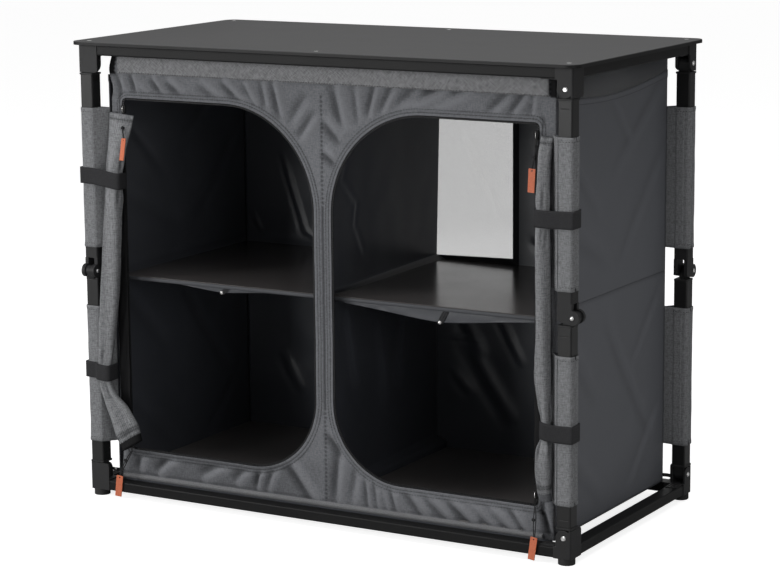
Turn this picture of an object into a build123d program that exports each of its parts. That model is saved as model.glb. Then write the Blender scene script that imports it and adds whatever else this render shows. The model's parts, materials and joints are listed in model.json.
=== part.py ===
from build123d import *
from math import radians, tan
import os

# Folding camping cupboard: a table top and a floor frame held apart by four two-part legs,
# with a fabric cabinet of four compartments hung between them.
# Millimetres. X runs to the right, Y to the back, Z up, and the doors face -Y.
# The origin is on the ground, midway between the feet.

# Table top
table_length = 962.0
table_depth = 499.0
table_height = 800.0
table_thickness = 6.0
table_corner_radius = 20.0
table_edge_radius = 1.2
table_overhang = 12.5
screw_head_radius = 4.0
screw_shank_radius = 2.0
screw_length = 16.0
screw_sink = 0.1

# Square leg tubes and flat rail tubes
post_width = 25.0
post_corner_radius = 2.5
rail_height = 18.0
tube_wall = 1.0
plug_fit = 0.2
plug_depth = 20.0
crimp_width = 1.2
crimp_depth = 0.4
crimp_length = 15.0
crimp_from_pivot = 30.0

# Moulded corner brackets
bracket_wall = 3.8
bracket_lip = 1.0
bracket_pivot_rise = 34.0
bracket_collar = 4.0
bracket_tail = 11.0
bracket_edge_radius = 2.5
saddle_length = 26.0
saddle_height = 1.5
saddle_rib_width = 2.0
saddle_rib_count = 4

# Pivots: a rivet through each bracket and each knuckle
rivet_radius = 2.5
rivet_head_radius = 4.2
rivet_head_height = 1.6
rivet_head_taper = 38.0
rivet_seat_clearance = 0.04
running_clearance = 0.08
side_clearance = 0.3
end_plug_rise = 14.5
end_plug_flange = 3.0
end_plug_rim = 1.2

# Over-centre knuckle halfway up each leg
knuckle_offset = 13.5
knuckle_lobe_radius = 11.5
knuckle_tongue_radius = 9.0
knuckle_tongue_width = 12.0
knuckle_proud = 0.3
knuckle_head_drop = 12.5
knuckle_head_height = 3.5
knuckle_slot_height = 22.0
knuckle_collar_height = 26.0
knuckle_cheek_drop = 6.0

# Feet
foot_height = 11.0
foot_radius = 14.0
foot_chamfer = 1.2
foot_peg_radius = 5.0
foot_peg_height = 7.0

# Fabric cabinet
fabric = 1.5
fabric_gap = 0.3
cabinet_side_gap = 15.5
cabinet_hem_height = 31.0
side_panel_below_rail = 34.0
top_rail_overlap = 16.0
door_side_margin = 32.0
door_inner_edge = 20.0
door_bottom = 88.0
door_below_rail = 76.0
door_top_radius = 170.0
door_bottom_radius = 125.0
door_outer_radius = 12.0
zip_width = 6.0
zip_thickness = 2.4
window_half_width = 140.0
window_above_shelf = 2.0
window_below_rail = 76.0
window_thickness = 0.8

# Boards that stiffen the floor and carry the shelves
board_thickness = 4.0
floor_height = 42.0
shelf_height = 390.0
shelf_front_setback = 22.0
board_gap = 0.5
board_corner_radius = 6.0

# Sleeves that wrap the legs, and the doors rolled up behind two straps each
lower_sleeve_above_bracket = 40.0
lower_sleeve_below_knuckle = 62.0
upper_sleeve_above_knuckle = 41.5
upper_sleeve_below_bracket = 60.5
sleeve_thickness = 1.2
sleeve_gap = 0.4
roll_width = 41.0
roll_depth = 30.0
roll_corner_radius = 12.0
roll_hang = 22.0
strap_width = 28.0
strap_thickness = 1.4
lower_strap_above_door_bottom = 133.0
upper_strap_below_door_top = 138.0

# Zip hardware and the elastic ties at the lower corners
slider_width = 9.0
slider_length = 14.0
slider_depth = 5.0
slider_inset = 16.0
leaf_width = 4.0
leaf_length = 14.0
leaf_thickness = 1.2
cord_radius = 1.2
cord_bulge = 2.5
cord_gap = 0.5
tab_width = 12.0
tab_length = 38.0
tab_thickness = 1.6
upper_tab_drop = 69.0
lower_tab_drop = 47.0
tab_clearance = 2.0
tie_width = 6.0
tie_thickness = 1.2
tie_height = 43.0
tie_reach = 16.0
tie_stud_radius = 2.6
tie_stud_height = 2.0

# Places worked out from the sizes above
post_x = table_length / 2 - table_overhang - post_width / 2
post_y = table_depth / 2 - table_overhang - post_width / 2
half_post = post_width / 2
half_bracket = half_post + bracket_lip
rail_bottom = foot_height
rail_top = rail_bottom + rail_height
table_underside = table_height - table_thickness
bottom_pivot = foot_height + bracket_pivot_rise
top_pivot = table_underside - bracket_pivot_rise
mid_height = (bottom_pivot + top_pivot) / 2
bracket_inside = half_bracket - bracket_wall
bracket_top = bottom_pivot + half_bracket
saddle_top = rail_top + saddle_height
rail_start = half_bracket + bracket_collar
rail_end = half_bracket + bracket_tail
plug_half_width = half_post - tube_wall - plug_fit
end_tongue_half_width = bracket_inside - side_clearance
lower_tube_bottom = bottom_pivot + end_plug_rise + end_plug_flange
lower_tube_top = mid_height - knuckle_head_drop - knuckle_head_height
upper_tube_bottom = mid_height + knuckle_slot_height + knuckle_collar_height
upper_tube_top = top_pivot - end_plug_rise - end_plug_flange
knuckle_half_width = half_post + knuckle_proud
cabinet_front = post_y - half_post - fabric_gap
cabinet_half_length = post_x - half_post - cabinet_side_gap
inside_front = cabinet_front - fabric
inside_side = cabinet_half_length - fabric
top_rail_bottom = table_underside - rail_height
cabinet_top = top_rail_bottom + top_rail_overlap
side_panel_top = top_rail_bottom - side_panel_below_rail
door_outer_edge = cabinet_half_length - door_side_margin
door_top = top_rail_bottom - door_below_rail
window_bottom = shelf_height + window_above_shelf
window_top = top_rail_bottom - window_below_rail
floor_board_bottom = floor_height - board_thickness
shelf_board_bottom = shelf_height - board_thickness
board_front = inside_front - shelf_front_setback
board_side = inside_side - board_gap
divider_half = fabric / 2
lower_sleeve = (bracket_top + lower_sleeve_above_bracket, mid_height - lower_sleeve_below_knuckle)
upper_sleeve = (mid_height + upper_sleeve_above_knuckle, 2 * mid_height - bracket_top - upper_sleeve_below_bracket)
sleeve_inside = half_post + sleeve_gap
sleeve_outside = sleeve_inside + sleeve_thickness
zip_proud = (zip_thickness - fabric) / 2
zip_face = cabinet_front + zip_proud
roll_x = post_x - sleeve_outside - board_gap - roll_width / 2
roll_y = zip_face + fabric_gap + roll_depth / 2
roll_bottom = door_bottom - roll_hang
roll_top = door_top
lower_strap_height = door_bottom + lower_strap_above_door_bottom
upper_strap_height = door_top - upper_strap_below_door_top
slider_x = roll_x - roll_width / 2 - board_gap - slider_width / 2

# Each corner's outward direction, towards which its knuckle stands out. The four turn like a pinwheel,
# so that each leg folds inward along its own side of the frame.
corners = {
    "front_right": ((1, -1), (1, 0, 0)),
    "rear_right": ((1, 1), (0, 1, 0)),
    "rear_left": ((-1, 1), (-1, 0, 0)),
    "front_left": ((-1, -1), (0, -1, 0)),
}


def post_plane(corner, height):
    """A level plane at a post's centre: its x runs outward, and its y along the hinge pins."""
    (side_x, side_y), outward = corners[corner]
    return Plane(origin=(side_x * post_x, side_y * post_y, height), x_dir=outward, z_dir=(0, 0, 1))


def side_plane(corner, along=0.0, height=0.0):
    """An upright plane square to a post's hinge pins: x runs outward, y is up, z against the pins' y."""
    level = post_plane(corner, height)
    origin = level.origin + level.y_dir * along
    return Plane(origin=origin, x_dir=level.x_dir, z_dir=level.y_dir * -1)


def save(part, name):
    part.label = name
    export_step(part, f"parts/{name}.step")


os.makedirs("parts", exist_ok=True)


# Table top: a laminated board with rounded corners, screwed down through six countersunk holes
screw_places = [(side * post_x, way * post_y) for way in (-1, 1) for side in (-1, 0, 1)]

with BuildPart() as table_top:
    with BuildSketch(Plane.XY.offset(table_underside)):
        RectangleRounded(table_length, table_depth, table_corner_radius)
    extrude(amount=table_thickness)
    fillet(table_top.faces().sort_by(Axis.Z)[-1].edges(), table_edge_radius)
    with Locations(*[(x, y, table_height) for x, y in screw_places]):
        CounterSinkHole(screw_shank_radius + running_clearance, screw_head_radius + running_clearance)
save(table_top.part, "table_top")

screw_head_height = screw_head_radius - screw_shank_radius
with BuildPart() as table_top_screws:
    for x, y in screw_places:
        with BuildSketch(Plane((x, y, table_height - screw_sink), x_dir=(1, 0, 0), z_dir=(0, -1, 0))):
            with BuildLine():
                Polyline(
                    (0, 0),
                    (screw_head_radius - screw_sink, 0),
                    (screw_shank_radius, -screw_head_height + screw_sink),
                    (screw_shank_radius, -screw_length),
                    (0, -screw_length),
                    close=True,
                )
            make_face()
        revolve(axis=Axis((x, y, 0), (0, 0, 1)))
save(table_top_screws.part, "table_top_screws")


def rail_tube(start, end, height, screw_at=None):
    """A flat rectangular tube along X or Y between two points, with an optional screw hole in its top."""
    path = Vector(*end) - Vector(*start)
    with BuildPart() as rail:
        across = Plane(
            origin=(start[0], start[1], height + rail_height / 2),
            x_dir=path.normalized().cross(Vector(0, 0, 1)),
            z_dir=path.normalized(),
        )
        with BuildSketch(across):
            RectangleRounded(post_width, rail_height, post_corner_radius)
            Rectangle(post_width - 2 * tube_wall, rail_height - 2 * tube_wall, mode=Mode.SUBTRACT)
        extrude(amount=path.length)
        if screw_at is not None:
            with Locations((screw_at[0], screw_at[1], height + rail_height)):
                Hole(screw_shank_radius + running_clearance, depth=rail_height / 2)
    return rail.part


# Eight rails: at one end each meets the collar of a bracket, at the other the tail of the next bracket
front_span = ((-post_x + rail_end, -post_y), (post_x - rail_start, -post_y))
right_span = ((post_x, -post_y + rail_end), (post_x, post_y - rail_start))
rear_span = ((post_x - rail_end, post_y), (-post_x + rail_start, post_y))
left_span = ((-post_x, post_y - rail_end), (-post_x, -post_y + rail_start))
spans = {"front": front_span, "right": right_span, "rear": rear_span, "left": left_span}
screwed = {"front": (0, -post_y), "rear": (0, post_y)}

for side, (start, end) in spans.items():
    save(rail_tube(start, end, rail_bottom), f"bottom_{side}_rail")
    save(rail_tube(start, end, table_underside - rail_height, screwed.get(side)), f"top_{side}_rail")


def corner_bracket(corner, hole_radius, hole_depth):
    """One moulded corner: a block between the rail ends, two cheeks for the leg's rivet, an outer wall that
    stops the leg upright, and a ribbed saddle on the rail that the folded leg lies along."""
    with BuildPart() as bracket:
        with BuildSketch(post_plane(corner, foot_height)):
            with Locations(((half_bracket - rail_start) / 2, (rail_end - half_bracket) / 2)):
                Rectangle(half_bracket + rail_start, half_bracket + rail_end)
        extrude(amount=saddle_top - foot_height)
        # Two cheeks with arched tops, one each side of the leg's plug
        for along in (half_bracket, -bracket_inside):
            with BuildSketch(side_plane(corner, along)):
                with Locations((0, (saddle_top + bottom_pivot) / 2)):
                    Rectangle(2 * half_bracket, bottom_pivot - saddle_top)
                with Locations((0, bottom_pivot)):
                    Circle(half_bracket)
            extrude(amount=bracket_wall)
        # The outer wall runs on as a tail beside the rail
        level = post_plane(corner, 0)
        wall_plane = Plane(
            origin=level.origin + level.x_dir * bracket_inside, x_dir=level.y_dir, z_dir=level.x_dir
        )
        with BuildSketch(wall_plane) as wall:
            with Locations(((rail_end - half_bracket) / 2, (bracket_top + foot_height) / 2)):
                Rectangle(rail_end + half_bracket, bracket_top - foot_height)
            fillet(wall.vertices().group_by(Axis.Y)[-1].sort_by(Axis.X)[-1], bracket_tail / 2)
        extrude(amount=bracket_wall)
        # Ribbed saddle on top of the rail
        saddle_middle = -rail_start - saddle_length / 2
        saddle_width = post_width - 2 * post_corner_radius
        with BuildSketch(post_plane(corner, rail_top)):
            with Locations((saddle_middle, 0)):
                Rectangle(saddle_length, saddle_width)
        extrude(amount=saddle_height / 2)
        rib_pitch = (saddle_width - saddle_rib_width) / (saddle_rib_count - 1)
        with BuildSketch(post_plane(corner, rail_top + saddle_height / 2)):
            with Locations((saddle_middle, 0)):
                with GridLocations(saddle_length, rib_pitch, 1, saddle_rib_count):
                    Rectangle(saddle_length, saddle_rib_width)
        extrude(amount=saddle_height / 2)
        # Spigots inside both rails
        spigot_height = rail_height - 2 * tube_wall - 2 * plug_fit
        spigot_width = post_width - 2 * post_corner_radius
        with BuildSketch(post_plane(corner, rail_bottom + tube_wall + plug_fit)):
            with Locations((-rail_start - plug_depth / 2, 0)):
                Rectangle(plug_depth, spigot_width)
            with Locations((0, rail_end + plug_depth / 2)):
                Rectangle(spigot_width, plug_depth)
        extrude(amount=spigot_height)
        # Rivet hole through both cheeks, and the hole for the foot's peg or the table screw
        with BuildSketch(side_plane(corner, half_bracket)):
            with Locations((0, bottom_pivot)):
                Circle(rivet_radius + rivet_seat_clearance)
        extrude(amount=2 * half_bracket, mode=Mode.SUBTRACT)
        with BuildSketch(post_plane(corner, foot_height)):
            Circle(hole_radius)
        extrude(amount=hole_depth, mode=Mode.SUBTRACT)
        outer_corner = level.from_local_coords(Vector(half_bracket, -half_bracket, bottom_pivot))
        fillet(bracket.edges().filter_by(Axis.Z).sort_by_distance(outer_corner)[0], bracket_edge_radius)
    return bracket.part


# The four bottom brackets, and the same moulding turned over under the table top
with BuildPart() as bottom_corner_brackets:
    for corner in corners:
        add(corner_bracket(corner, foot_peg_radius + plug_fit, foot_peg_height + plug_fit))
save(bottom_corner_brackets.part, "bottom_corner_brackets")

screw_hole_depth = screw_length - table_thickness + plug_fit
with BuildPart() as top_corner_brackets:
    for corner in corners:
        add(corner_bracket(corner, screw_shank_radius + running_clearance, screw_hole_depth))
    mirror(about=Plane.XY.offset(mid_height), mode=Mode.REPLACE)
save(top_corner_brackets.part, "top_corner_brackets")


# Feet: turned plastic pads, each with a peg up into its bracket
with BuildPart() as feet:
    for corner in corners:
        with BuildSketch(post_plane(corner, 0)):
            Circle(foot_radius)
        extrude(amount=foot_height)
        chamfer(feet.edges().filter_by(GeomType.CIRCLE).group_by(Axis.Z)[0][-1], foot_chamfer)
        with BuildSketch(post_plane(corner, foot_height)):
            Circle(foot_peg_radius)
        extrude(amount=foot_peg_height)
save(feet.part, "feet")


def rivet(corner, outward, height, grip):
    """A rivet along a post's hinge pins, with a domed head on both ends of its grip."""
    with BuildPart() as pin:
        with BuildSketch(side_plane(corner, grip / 2)):
            with Locations((outward, height)):
                Circle(rivet_radius)
        extrude(amount=grip)
        for along, way in ((grip / 2, -1), (-grip / 2, 1)):
            with BuildSketch(side_plane(corner, along)):
                with Locations((outward, height)):
                    Circle(rivet_head_radius)
            extrude(amount=way * rivet_head_height, taper=rivet_head_taper)
    return pin.part


bracket_grip = 2 * half_bracket
with BuildPart() as bottom_pivot_rivets:
    for corner in corners:
        add(rivet(corner, 0, bottom_pivot, bracket_grip))
save(bottom_pivot_rivets.part, "bottom_pivot_rivets")

with BuildPart() as top_pivot_rivets:
    for corner in corners:
        add(rivet(corner, 0, top_pivot, bracket_grip))
save(top_pivot_rivets.part, "top_pivot_rivets")


def leg_tube(corner, bottom, top, crimp_heights):
    """A square tube with rounded corners, crimped across two faces where it grips its plugs."""
    with BuildPart() as tube:
        with BuildSketch(post_plane(corner, bottom)):
            RectangleRounded(post_width, post_width, post_corner_radius)
            Rectangle(post_width - 2 * tube_wall, post_width - 2 * tube_wall, mode=Mode.SUBTRACT)
        extrude(amount=top - bottom)
        for height in crimp_heights:
            with BuildSketch(post_plane(corner, height - crimp_width / 2)):
                with Locations((0, half_post), (0, -half_post)):
                    Rectangle(crimp_length, 2 * crimp_depth)
            extrude(amount=crimp_width, mode=Mode.SUBTRACT)
    return tube.part


def end_plug(corner, pivot, way):
    """The plug in a leg's outer end: an eye round the bracket's rivet, a rim under the tube, and a block
    inside it. way is 1 for the lower leg and -1 for the upper one."""
    rim = pivot + way * end_plug_rise
    with BuildPart() as plug:
        with BuildSketch(side_plane(corner, end_tongue_half_width)):
            with Locations((0, pivot + way * end_plug_rise / 2)):
                Rectangle(2 * end_tongue_half_width, end_plug_rise)
            with Locations((0, pivot)):
                Circle(end_tongue_half_width)
                Circle(rivet_radius + running_clearance, mode=Mode.SUBTRACT)
        extrude(amount=2 * end_tongue_half_width)
        rim_width = post_width + 2 * end_plug_rim
        with BuildSketch(post_plane(corner, rim)):
            RectangleRounded(rim_width, rim_width, post_corner_radius)
        extrude(amount=way * end_plug_flange)
        with BuildSketch(post_plane(corner, rim + way * end_plug_flange)):
            Rectangle(2 * plug_half_width, 2 * plug_half_width)
        extrude(amount=way * plug_depth)
    return plug.part


def knuckle_tongue(corner):
    """The plug in the lower tube's top: a flat tongue that tapers up to an eye round the knuckle's rivet."""
    head_top = mid_height - knuckle_head_drop
    with BuildPart() as tongue:
        with BuildSketch(post_plane(corner, lower_tube_top - plug_depth)):
            Rectangle(2 * plug_half_width, 2 * plug_half_width)
        extrude(amount=plug_depth)
        with BuildSketch(post_plane(corner, lower_tube_top)):
            RectangleRounded(2 * knuckle_half_width, 2 * knuckle_half_width, post_corner_radius)
        extrude(amount=knuckle_head_height)
        with BuildSketch(side_plane(corner, knuckle_tongue_width / 2)):
            with Locations((knuckle_offset, mid_height)):
                Circle(knuckle_tongue_radius)
            with Locations((half_post / 4, head_top - knuckle_head_height / 2)):
                Rectangle(1.5 * half_post, knuckle_head_height)
            make_hull()
            with Locations((knuckle_offset, mid_height)):
                Circle(rivet_radius + running_clearance, mode=Mode.SUBTRACT)
        extrude(amount=knuckle_tongue_width)
    return tongue.part


def knuckle_cheeks(corner):
    """The fork in the upper tube's bottom: a collar, and two cheeks with round lobes outside the tube's line,
    so that the leg locks just past straight and its halves fold flat, one above the other."""
    slot = knuckle_tongue_width / 2 + side_clearance
    slot_top = mid_height + knuckle_slot_height
    with BuildPart() as fork:
        with BuildSketch(side_plane(corner, knuckle_half_width)):
            with BuildLine():
                Polyline(
                    (-knuckle_half_width, mid_height - knuckle_cheek_drop),
                    (-knuckle_half_width, slot_top),
                    (knuckle_half_width, slot_top),
                    (knuckle_half_width, mid_height),
                    (knuckle_offset - rivet_radius, mid_height - knuckle_lobe_radius + knuckle_proud),
                    close=True,
                )
            make_face()
            with Locations((knuckle_offset, mid_height)):
                Circle(knuckle_lobe_radius)
        extrude(amount=2 * knuckle_half_width)
        with BuildSketch(side_plane(corner, slot)):
            with Locations((knuckle_offset / 2, mid_height)):
                Rectangle(2 * post_width + knuckle_offset, 2 * knuckle_slot_height)
        extrude(amount=2 * slot, mode=Mode.SUBTRACT)
        with BuildSketch(post_plane(corner, slot_top)):
            RectangleRounded(2 * knuckle_half_width, 2 * knuckle_half_width, post_corner_radius)
        extrude(amount=knuckle_collar_height)
        with BuildSketch(post_plane(corner, upper_tube_bottom)):
            Rectangle(2 * plug_half_width, 2 * plug_half_width)
        extrude(amount=plug_depth)
        with BuildSketch(side_plane(corner, knuckle_half_width)):
            with Locations((knuckle_offset, mid_height)):
                Circle(rivet_radius + rivet_seat_clearance)
        extrude(amount=2 * knuckle_half_width, mode=Mode.SUBTRACT)
    return fork.part


def leg_sleeve(corner, bottom, top):
    """A fabric sleeve closed round a leg tube with hook-and-loop tape."""
    with BuildPart() as sleeve:
        with BuildSketch(post_plane(corner, bottom)):
            RectangleRounded(2 * sleeve_outside, 2 * sleeve_outside, post_corner_radius + sleeve_gap)
            Rectangle(2 * sleeve_inside, 2 * sleeve_inside, mode=Mode.SUBTRACT)
        extrude(amount=top - bottom)
    return sleeve.part


# Four legs, each a lower and an upper tube with their plugs, the knuckle between them, and their sleeves
for corner in corners:
    lower_crimps = (bottom_pivot + crimp_from_pivot, mid_height - crimp_from_pivot)
    save(leg_tube(corner, lower_tube_bottom, lower_tube_top, lower_crimps), f"{corner}_lower_tube")
    save(leg_tube(corner, upper_tube_bottom, upper_tube_top, (top_pivot - crimp_from_pivot,)), f"{corner}_upper_tube")

    with BuildPart() as lower_plugs:
        add(end_plug(corner, bottom_pivot, 1))
        add(knuckle_tongue(corner))
    save(lower_plugs.part, f"{corner}_lower_plugs")

    with BuildPart() as upper_plugs:
        add(end_plug(corner, top_pivot, -1))
        add(knuckle_cheeks(corner))
        add(rivet(corner, knuckle_offset, mid_height, 2 * knuckle_half_width))
    save(upper_plugs.part, f"{corner}_upper_plugs")

    save(leg_sleeve(corner, *lower_sleeve), f"{corner}_lower_sleeve")
    save(leg_sleeve(corner, *upper_sleeve), f"{corner}_upper_sleeve")


# Fabric cabinet. The front and rear panels reach up behind the top rails, where hook-and-loop tape holds them
def wall_plane(y):
    """An upright plane that faces the front: x runs to the right and y up."""
    return Plane(origin=(0, y, 0), x_dir=(1, 0, 0), z_dir=(0, -1, 0))


def door_outline(side, grow):
    """A door's D shape, square to the outside and round towards the middle, widened all round by grow."""
    outer = side * (door_outer_edge + grow)
    inner = side * (door_inner_edge - grow)
    low, high = door_bottom - grow, door_top + grow
    with BuildSketch() as outline:
        with BuildLine():
            FilletPolyline(
                (outer, low),
                (inner, low),
                (inner, high),
                (outer, high),
                radius=(
                    door_outer_radius + grow,
                    door_bottom_radius + grow,
                    door_top_radius + grow,
                    door_outer_radius + grow,
                ),
                close=True,
            )
        make_face()
    return outline.sketch


panel_middle = (cabinet_hem_height + cabinet_top) / 2
panel_height = cabinet_top - cabinet_hem_height

with BuildPart() as front_panel:
    with BuildSketch(wall_plane(-cabinet_front)):
        with Locations((0, panel_middle)):
            Rectangle(2 * cabinet_half_length, panel_height)
        for side in (-1, 1):
            add(door_outline(side, zip_width), mode=Mode.SUBTRACT)
    extrude(amount=-fabric)
save(front_panel.part, "front_panel")

with BuildPart() as rear_panel:
    with BuildSketch(wall_plane(inside_front)):
        with Locations((0, panel_middle)):
            Rectangle(2 * cabinet_half_length, panel_height)
        with Locations((0, (window_bottom + window_top) / 2)):
            Rectangle(2 * window_half_width, window_top - window_bottom, mode=Mode.SUBTRACT)
    extrude(amount=-fabric)
save(rear_panel.part, "rear_panel")

with BuildPart() as rear_window:
    with BuildSketch(wall_plane(inside_front + (fabric - window_thickness) / 2)):
        with Locations((0, (window_bottom + window_top) / 2)):
            Rectangle(2 * window_half_width, window_top - window_bottom)
    extrude(amount=-window_thickness)
save(rear_window.part, "rear_window")


def upright_panel(x_middle):
    """A fabric wall from front to back, hemmed below the floor and open above."""
    with BuildPart() as wall:
        with BuildSketch(Plane.XY.offset(cabinet_hem_height)):
            with Locations((x_middle, 0)):
                Rectangle(fabric, 2 * inside_front)
        extrude(amount=side_panel_top - cabinet_hem_height)
    return wall.part


save(upright_panel(-cabinet_half_length + fabric / 2), "side_panel_left")
save(upright_panel(cabinet_half_length - fabric / 2), "side_panel_right")

# The divider stands on the fabric floor, which hangs from the four walls
with BuildPart() as divider:
    with BuildSketch(Plane.XY.offset(floor_board_bottom)):
        Rectangle(fabric, 2 * inside_front)
    extrude(amount=side_panel_top - floor_board_bottom)
save(divider.part, "divider")

with BuildPart() as cabinet_floor:
    with BuildSketch(Plane.XY.offset(floor_board_bottom - fabric)):
        Rectangle(2 * inside_side, 2 * inside_front)
    extrude(amount=fabric)
save(cabinet_floor.part, "cabinet_floor")


def compartment_board(side, bottom, thickness, front):
    """A flat piece that fills one compartment from the divider to the side wall."""
    inner = divider_half + board_gap
    back = inside_front - board_gap
    with BuildPart() as board:
        with BuildSketch(Plane.XY.offset(bottom)):
            with Locations((side * (inner + board_side) / 2, (back - front) / 2)):
                RectangleRounded(board_side - inner, back + front, board_corner_radius)
        extrude(amount=thickness)
    return board.part


# Boards in the floor, and the shelves: each a laminated board on a fabric sling
sling_bottom = shelf_board_bottom - fabric_gap - fabric
for side, name in ((-1, "left"), (1, "right")):
    floor_front = inside_front - board_gap
    save(compartment_board(side, floor_board_bottom, board_thickness, floor_front), f"floor_board_{name}")
    save(compartment_board(side, shelf_board_bottom, board_thickness, board_front), f"shelf_board_{name}")
    save(compartment_board(side, sling_bottom, fabric, board_front), f"shelf_sling_{name}")

# Zip tape round each door opening
with BuildPart() as door_zips:
    with BuildSketch(wall_plane(-zip_face)):
        for side in (-1, 1):
            add(door_outline(side, zip_width))
            add(door_outline(side, 0), mode=Mode.SUBTRACT)
    extrude(amount=-zip_thickness)
save(door_zips.part, "door_zips")

# Doors, rolled up and back against the front legs
for side, name in ((-1, "left"), (1, "right")):
    with BuildPart() as rolled_door:
        with BuildSketch(Plane.XY.offset(roll_bottom)):
            with Locations((side * roll_x, -roll_y)):
                RectangleRounded(roll_width, roll_depth, roll_corner_radius)
        extrude(amount=roll_top - roll_bottom)
    save(rolled_door.part, f"rolled_door_{name}")

# Webbing straps: each starts at the front panel and goes round the rolled door and the leg, back to the cabinet
with BuildPart() as door_straps:
    half_strap = strap_thickness / 2
    strap_inner = roll_x - roll_width / 2 - board_gap - half_strap
    strap_outer = post_x + sleeve_outside + board_gap + half_strap
    strap_front = roll_y + roll_depth / 2 + board_gap + half_strap
    strap_back = post_y - sleeve_outside - board_gap - half_strap
    for side in (-1, 1):
        for height in (lower_strap_height, upper_strap_height):
            with BuildSketch(Plane.XY.offset(height - strap_width / 2)):
                with BuildLine():
                    FilletPolyline(
                        (side * strap_inner, -zip_face - fabric_gap),
                        (side * strap_inner, -strap_front),
                        (side * strap_outer, -strap_front),
                        (side * strap_outer, -strap_back),
                        (side * (cabinet_half_length + board_gap), -strap_back),
                        radius=post_corner_radius,
                    )
                trace(line_width=strap_thickness)
            extrude(amount=strap_width)
save(door_straps.part, "door_straps")


# Zip pulls: a slider with a metal leaf on the tape, a knotted cord, and a coloured tab
upper_slider_height = door_top - slider_inset
lower_slider_height = door_bottom + slider_inset
slider_front = zip_face + slider_depth
leaf_y = slider_front - leaf_thickness / 2
leaf_drop = slider_length / 2 + leaf_length

with BuildPart() as zip_sliders:
    for side in (-1, 1):
        for height in (lower_slider_height, upper_slider_height):
            with BuildSketch(wall_plane(-zip_face)):
                with Locations((side * slider_x, height)):
                    RectangleRounded(slider_width, slider_length, slider_width / 4)
            extrude(amount=slider_depth)
            with BuildSketch(wall_plane(-slider_front + leaf_thickness)):
                with Locations((side * slider_x, height - leaf_drop / 2)):
                    Rectangle(leaf_width, leaf_drop)
            extrude(amount=leaf_thickness)
save(zip_sliders.part, "zip_sliders")

# The upper tabs hang in front of the panel, and the lower ones in front of the bottom rail
tab_x = slider_x - tab_width / 4
upper_tab_y = leaf_y
lower_tab_y = post_y + half_post + tab_clearance + tab_thickness / 2
pulls = (
    (upper_slider_height, door_top - upper_tab_drop, upper_tab_y),
    (lower_slider_height, door_bottom - lower_tab_drop, lower_tab_y),
)


def cord_route(side, slider_height, tab_top, tab_y):
    """The points of a pull's cord, from the end of the slider's leaf to the top of the tab."""
    start = Vector(side * slider_x, -leaf_y, slider_height - leaf_drop - cord_gap)
    end = Vector(side * tab_x, -tab_y, tab_top + cord_gap)
    bulge = Vector(side * cord_bulge / 2, -cord_bulge, 0)
    return [start, start + (end - start) * 0.45 + bulge, end]


def arc_radii(points):
    """One arc for each bend of a cord's route, as large as its two runs allow."""
    radii = []
    for before, here, after in zip(points, points[1:], points[2:]):
        turn = (here - before).get_angle(after - here)
        shorter = min((here - before).length, (after - here).length)
        radii.append(0.45 * shorter / tan(radians(turn / 2)))
    return radii


with BuildPart() as zip_pull_cords:
    for side in (-1, 1):
        for slider_height, tab_top, tab_y in pulls:
            route = cord_route(side, slider_height, tab_top, tab_y)
            radii = arc_radii(route)
            print("zip pull cord radii", [round(r, 1) for r in radii])
            with BuildLine() as path:
                FilletPolyline(*route, radius=radii)
            with BuildSketch(Plane(origin=path.line @ 0, z_dir=path.line % 0)):
                Circle(cord_radius)
            sweep(path=path.line)
save(zip_pull_cords.part, "zip_pull_cords")

with BuildPart() as zip_pull_tabs:
    for side in (-1, 1):
        for slider_height, tab_top, tab_y in pulls:
            with BuildSketch(wall_plane(-tab_y - tab_thickness / 2)):
                with Locations((side * tab_x, tab_top - tab_length / 2)):
                    RectangleRounded(tab_width, tab_length, tab_width / 8)
            extrude(amount=-tab_thickness)
save(zip_pull_tabs.part, "zip_pull_tabs")

# Elastic ties from the cabinet's lower corners to the brackets, each fastened with a small stud
with BuildPart() as corner_ties:
    tie_y = inside_front - fabric_gap
    tie_start = cabinet_half_length + fabric_gap
    for side in (-1, 1):
        for way in (-1, 1):
            with BuildSketch(Plane.XY.offset(tie_height - tie_width / 2)):
                with Locations((side * (tie_start + tie_reach / 2), way * (tie_y - tie_thickness / 2))):
                    Rectangle(tie_reach, tie_thickness)
            extrude(amount=tie_width)
            with BuildSketch(wall_plane(way * tie_y)):
                with Locations((side * (tie_start + tie_reach / 2), tie_height)):
                    Circle(tie_stud_radius)
            extrude(amount=-way * tie_stud_height)
save(corner_ties.part, "corner_ties")
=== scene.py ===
"""A folding camping cupboard: a table top and a floor frame on knuckled legs, with a fabric cabinet hung
between them and its two doors rolled up. Metres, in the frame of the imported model: X to the right, Y to the
back, Z up."""

import json
import math

import bpy
import numpy as np
from mathutils import Matrix, Vector, noise
from mathutils.geometry import delaunay_2d_cdt


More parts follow.
